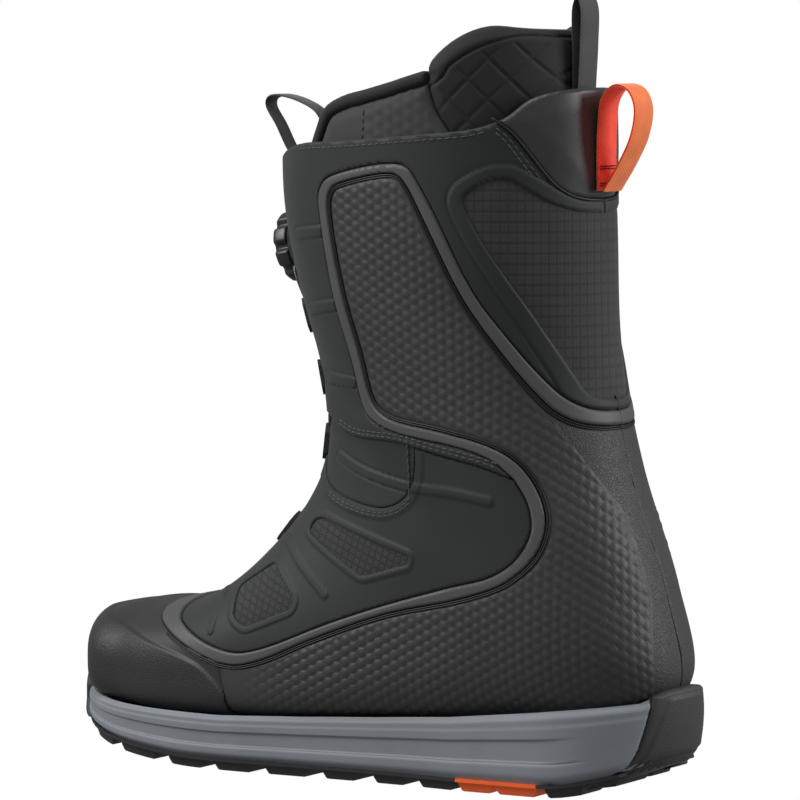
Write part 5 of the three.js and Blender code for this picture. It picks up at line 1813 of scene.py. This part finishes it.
# ---------------------------------------------------------------- dial and cable
DIAL_FOOT = np.array([0, -40.317, 224.293])
DIAL_AXIS = np.array([0, -0.98075611, -0.19523691])
DIAL_DOWN = np.array([0, 0.19523691, -0.98075611])
ACROSS = np.array([1.0, 0, 0])
KNOB_RADIUS = 16.0
KNOB_LOW = 4.0
KNOB_HIGH = 11.4
KNOB_CEILING = 9.6
KNOB_BORE = 12.15
GRIPS = 9
GRIP_DEPTH = 2.0
SCREW_RADIUS = 3.75
CABLE_RADIUS = 0.7
GUIDE_STATIONS = (0.735, 0.625, 0.525, 0.39)
GUIDE_ANGLES = (0.37, 0.36, 0.34, 0.3)
GUIDE_TURN = 4.2
GUIDE_HALF_WIDTH = 4.0
CABLE_LIFT = 2.1
MOUTH_REACH = 0.014
PORT_ANGLE = 0.6
PORT_HEIGHT = 2.2
CABLE_SLACK = 1.9


def on_dial(angle, radius, height):
    """Point at an angle, radius and height of the dial's own axis."""
    flat = radius * (math.cos(angle) * ACROSS + math.sin(angle) * DIAL_DOWN)
    return DIAL_FOOT + flat + height * DIAL_AXIS


SCREW_HOLE_RADIUS = 1.8
KNOB_STEPS = 288


def make_knob():
    """Knob with rounded grips; each ring is a circle pulled in between the grips."""
    count = KNOB_STEPS
    angles = 2 * math.pi * np.arange(count) / count
    wave = np.abs(np.sin(angles * GRIPS / 2))
    grip = smooth_step(wave, 0.15, 0.75)
    ring_list = [
        # radius, height, how much of the grip's depth is cut
        (KNOB_BORE, KNOB_LOW, 0), (KNOB_RADIUS - 0.5, KNOB_LOW, 1), (KNOB_RADIUS - 0.1, KNOB_LOW + 0.3, 1),
        (KNOB_RADIUS, KNOB_LOW + 0.8, 1), (KNOB_RADIUS, KNOB_HIGH - 2.4, 1),
        (KNOB_RADIUS - 0.3, KNOB_HIGH - 1.3, 1), (KNOB_RADIUS - 0.9, KNOB_HIGH - 0.55, 1),
        (KNOB_RADIUS - 1.7, KNOB_HIGH - 0.15, 0.8), (KNOB_RADIUS - 2.6, KNOB_HIGH, 0.2),
        (KNOB_RADIUS - 3.6, KNOB_HIGH - 0.05, 0), (KNOB_RADIUS - 4.1, KNOB_HIGH - 0.6, 0),
        (KNOB_RADIUS - 4.6, KNOB_HIGH - 0.7, 0), (KNOB_RADIUS - 5.1, KNOB_HIGH - 0.1, 0),
        (KNOB_RADIUS - 5.6, KNOB_HIGH, 0), (SCREW_RADIUS + 0.3, KNOB_HIGH, 0),
        (SCREW_RADIUS, KNOB_HIGH - 0.3, 0), (SCREW_RADIUS, KNOB_HIGH - 1, 0),
        (SCREW_HOLE_RADIUS, KNOB_HIGH - 1, 0), (SCREW_HOLE_RADIUS, KNOB_CEILING, 0),
        (KNOB_BORE, KNOB_CEILING, 0),
    ]
    vertices = []
    for radius, height, cut in ring_list:
        reach = radius - GRIP_DEPTH * cut * (1 - grip)
        for angle, r in zip(angles, reach):
            vertices.append(on_dial(angle, r, height))
    faces = []
    rings = len(ring_list)
    for i in range(rings):
        j = (i + 1) % rings
        for k in range(count):
            m = (k + 1) % count
            faces.append((i * count + k, i * count + m, j * count + m, j * count + k))
    piece = new_object("dial_grip_knob", np.array(vertices), faces, MATERIALS["dial_plastic"])
    settle(piece, "dial_knob", ("dial_knob",))


def turn_from_cad(s, turn):
    """Polar turn of the point that has this turn in the superellipse's own parameter."""
    power = section_at(np.array([s]))[0, 7]
    angle = math.atan2(abs(math.sin(turn)) ** (2 / power), abs(math.cos(turn)) ** (2 / power))
    return math.copysign(angle, turn)


def form_place(s, turn, depth):
    return form_points(np.array([s]), np.array([turn_from_cad(s, turn)]), depth)[0]


def guide_turn_points(s, angle, side_sign):
    """Points of the cable's half turn inside a guide, from its upper mouth to its lower."""
    origin = form_place(s, side_sign * angle, STIFFENER_DEPTH)
    along = form_place(s + 0.01, side_sign * angle, STIFFENER_DEPTH)
    along -= form_place(s - 0.01, side_sign * angle, STIFFENER_DEPTH)
    along /= np.linalg.norm(along)
    sideways = form_place(s, side_sign * (angle + 0.05), STIFFENER_DEPTH)
    sideways -= form_place(s, side_sign * (angle - 0.05), STIFFENER_DEPTH)
    sideways /= np.linalg.norm(sideways)
    out = -side_sign * np.cross(along, sideways)
    out /= np.linalg.norm(out)
    sideways = -side_sign * np.cross(out, along)
    sideways /= np.linalg.norm(sideways)
    deep = GUIDE_HALF_WIDTH - CABLE_RADIUS - 1.2
    mouth = -GUIDE_HALF_WIDTH - 1
    route = (
        (GUIDE_TURN, mouth), (GUIDE_TURN, -0.5), (GUIDE_TURN * 0.7, deep * 0.75), (0, deep),
        (-GUIDE_TURN * 0.7, deep * 0.75), (-GUIDE_TURN, -0.5), (-GUIDE_TURN, mouth),
    )
    return [origin + up * along + aside * sideways + CABLE_LIFT * out for up, aside in route]


def strand(first_side, high):
    """One of the two crossing runs, from the dial's port to the lowest guide."""
    angle = PORT_ANGLE if first_side > 0 else math.pi - PORT_ANGLE
    points = [on_dial(angle, radius, PORT_HEIGHT) for radius in (10.5, 13.8, 18.0)]
    for i, station in enumerate(GUIDE_STATIONS):
        side_sign = first_side if i % 2 == 0 else -first_side
        points += guide_turn_points(station, GUIDE_ANGLES[i], side_sign)
        if i + 1 == len(GUIDE_STATIONS):
            continue
        start = (station - MOUTH_REACH, side_sign * GUIDE_ANGLES[i] * 0.6)
        end = (GUIDE_STATIONS[i + 1] + MOUTH_REACH, -side_sign * GUIDE_ANGLES[i + 1] * 0.6)
        for share in (0.25, 0.5, 0.75):
            lift = CABLE_SLACK + (2 * CABLE_RADIUS + 0.1 if share == 0.5 and high else 0)
            s = start[0] + share * (end[0] - start[0])
            turn = start[1] + share * (end[1] - start[1])
            points.append(form_place(s, turn, STIFFENER_DEPTH - lift))
    return points


def make_cable():
    foot = GUIDE_STATIONS[-1] - MOUTH_REACH
    across = [form_place(foot, -turn, STIFFENER_DEPTH - CABLE_SLACK) for turn in (0.12, 0, -0.12)]
    route = strand(1, False) + across + strand(-1, True)[::-1]
    path = smooth_line(route, 8)
    normals = np.gradient(path, axis=0)
    normals = np.cross(normals, [0.3, 0.1, 1.0])
    strand_mesh = tube(path, normals, CABLE_RADIUS, sides=12)
    piece = new_object("closure_cable", *strand_mesh, MATERIALS["steel_cable"])
    settle(piece, "boot", ("lace_cable",))


make_knob()
make_cable()

# ---------------------------------------------------------------- stitching
THREAD_LIFT = 0.12


def part_between(line, low, high):
    """Points of a side-view line between two y values."""
    fine, _ = resampled(line, 1.0)
    return fine[(fine[:, 0] >= low) & (fine[:, 0] <= high)]


def make_stitches():
    rows = (
        # name, line, how far sideways, surface height, y range
        ("hem", HEM_LINE, (2.0, 3.6), 0.8, (-6, 82)),
        ("strap", np.vstack([STRAP, STRAP[:1]]), (-2.0, -3.4), 0.15, (-12, 38)),
        ("shell_top", SHELL_TOP_LINE, (-2.4,), -0.1, (-20, 74)),
        ("collar_edge", COLLAR_LINE, (-2.2, -3.8), -0.1, (76, 98)),
    )
    for label, which in SIDES:
        for name, line, offsets, lift, (low, high) in rows:
            parts = []
            for offset in offsets:
                path = part_between(shifted(line, offset), low, high)
                parts.append(stitch_row(path, which, lift + THREAD_LIFT))
            piece = new_object(name + "_stitches_" + label, *joined(parts), MATERIALS["thread"])
            settle(piece, "boot")
        path = part_between(COLLAR_LINE, 76, 110)
        points, normals = line_on_side(path, which, 0.05)
        cord = new_object("collar_cord_" + label, *tube(points, normals, 0.55), MATERIALS["black_cord_and_groove_shade"])
        settle(cord, "boot")


def make_liner_seam():
    """Dark stitches between the plain front panel and the embossed one of the inner boot."""
    line = np.array([[LINER_SPLIT_Y - 0.5, 266.0], [LINER_SPLIT_Y, 276.0], [LINER_SPLIT_Y + 0.5, 285.0]])
    for label, which in SIDES:
        row = stitch_row(line, which, -LINER_DEPTH + 0.55)
        piece = new_object("liner_seam_stitches_" + label, *row, MATERIALS["black_cord_and_groove_shade"])
        settle(piece, "boot")


TACK_RISES = (2.0, 3.1, 9.0, 10.1)
TACK_PLACES = np.arange(-6.0, 6.1, 1.5)
TACK_THREAD = 0.22


def make_pull_tacks():
    """Bar tacks that hold the heel pull down."""
    base = heel_line_place(HEEL_PULL_STATION)
    parts = []
    for rise in TACK_RISES:
        for x in TACK_PLACES:
            start = np.array([x - 0.55, base[0] + 2.1, base[1] + rise])
            points = np.array([start, start + [0.55, 0.22, 0], start + [1.1, 0, 0]])
            parts.append(tube(points, np.tile([0.0, 1.0, 0.0], (3, 1)), TACK_THREAD, sides=6))
    piece = new_object("heel_pull_tacks", *joined(parts), MATERIALS["black_cord_and_groove_shade"])
    settle(piece, "heel_pull")


make_stitches()
make_liner_seam()
make_pull_tacks()

# ---------------------------------------------------------------- materials of the imported parts
for entry in frame["record"]["subparts"]:
    node = frame["nodes"].get(entry["node"])
    if node is not None:
        for slot_place in node.material_slots:
            slot_place.material = MATERIALS[entry["material_slot"]]
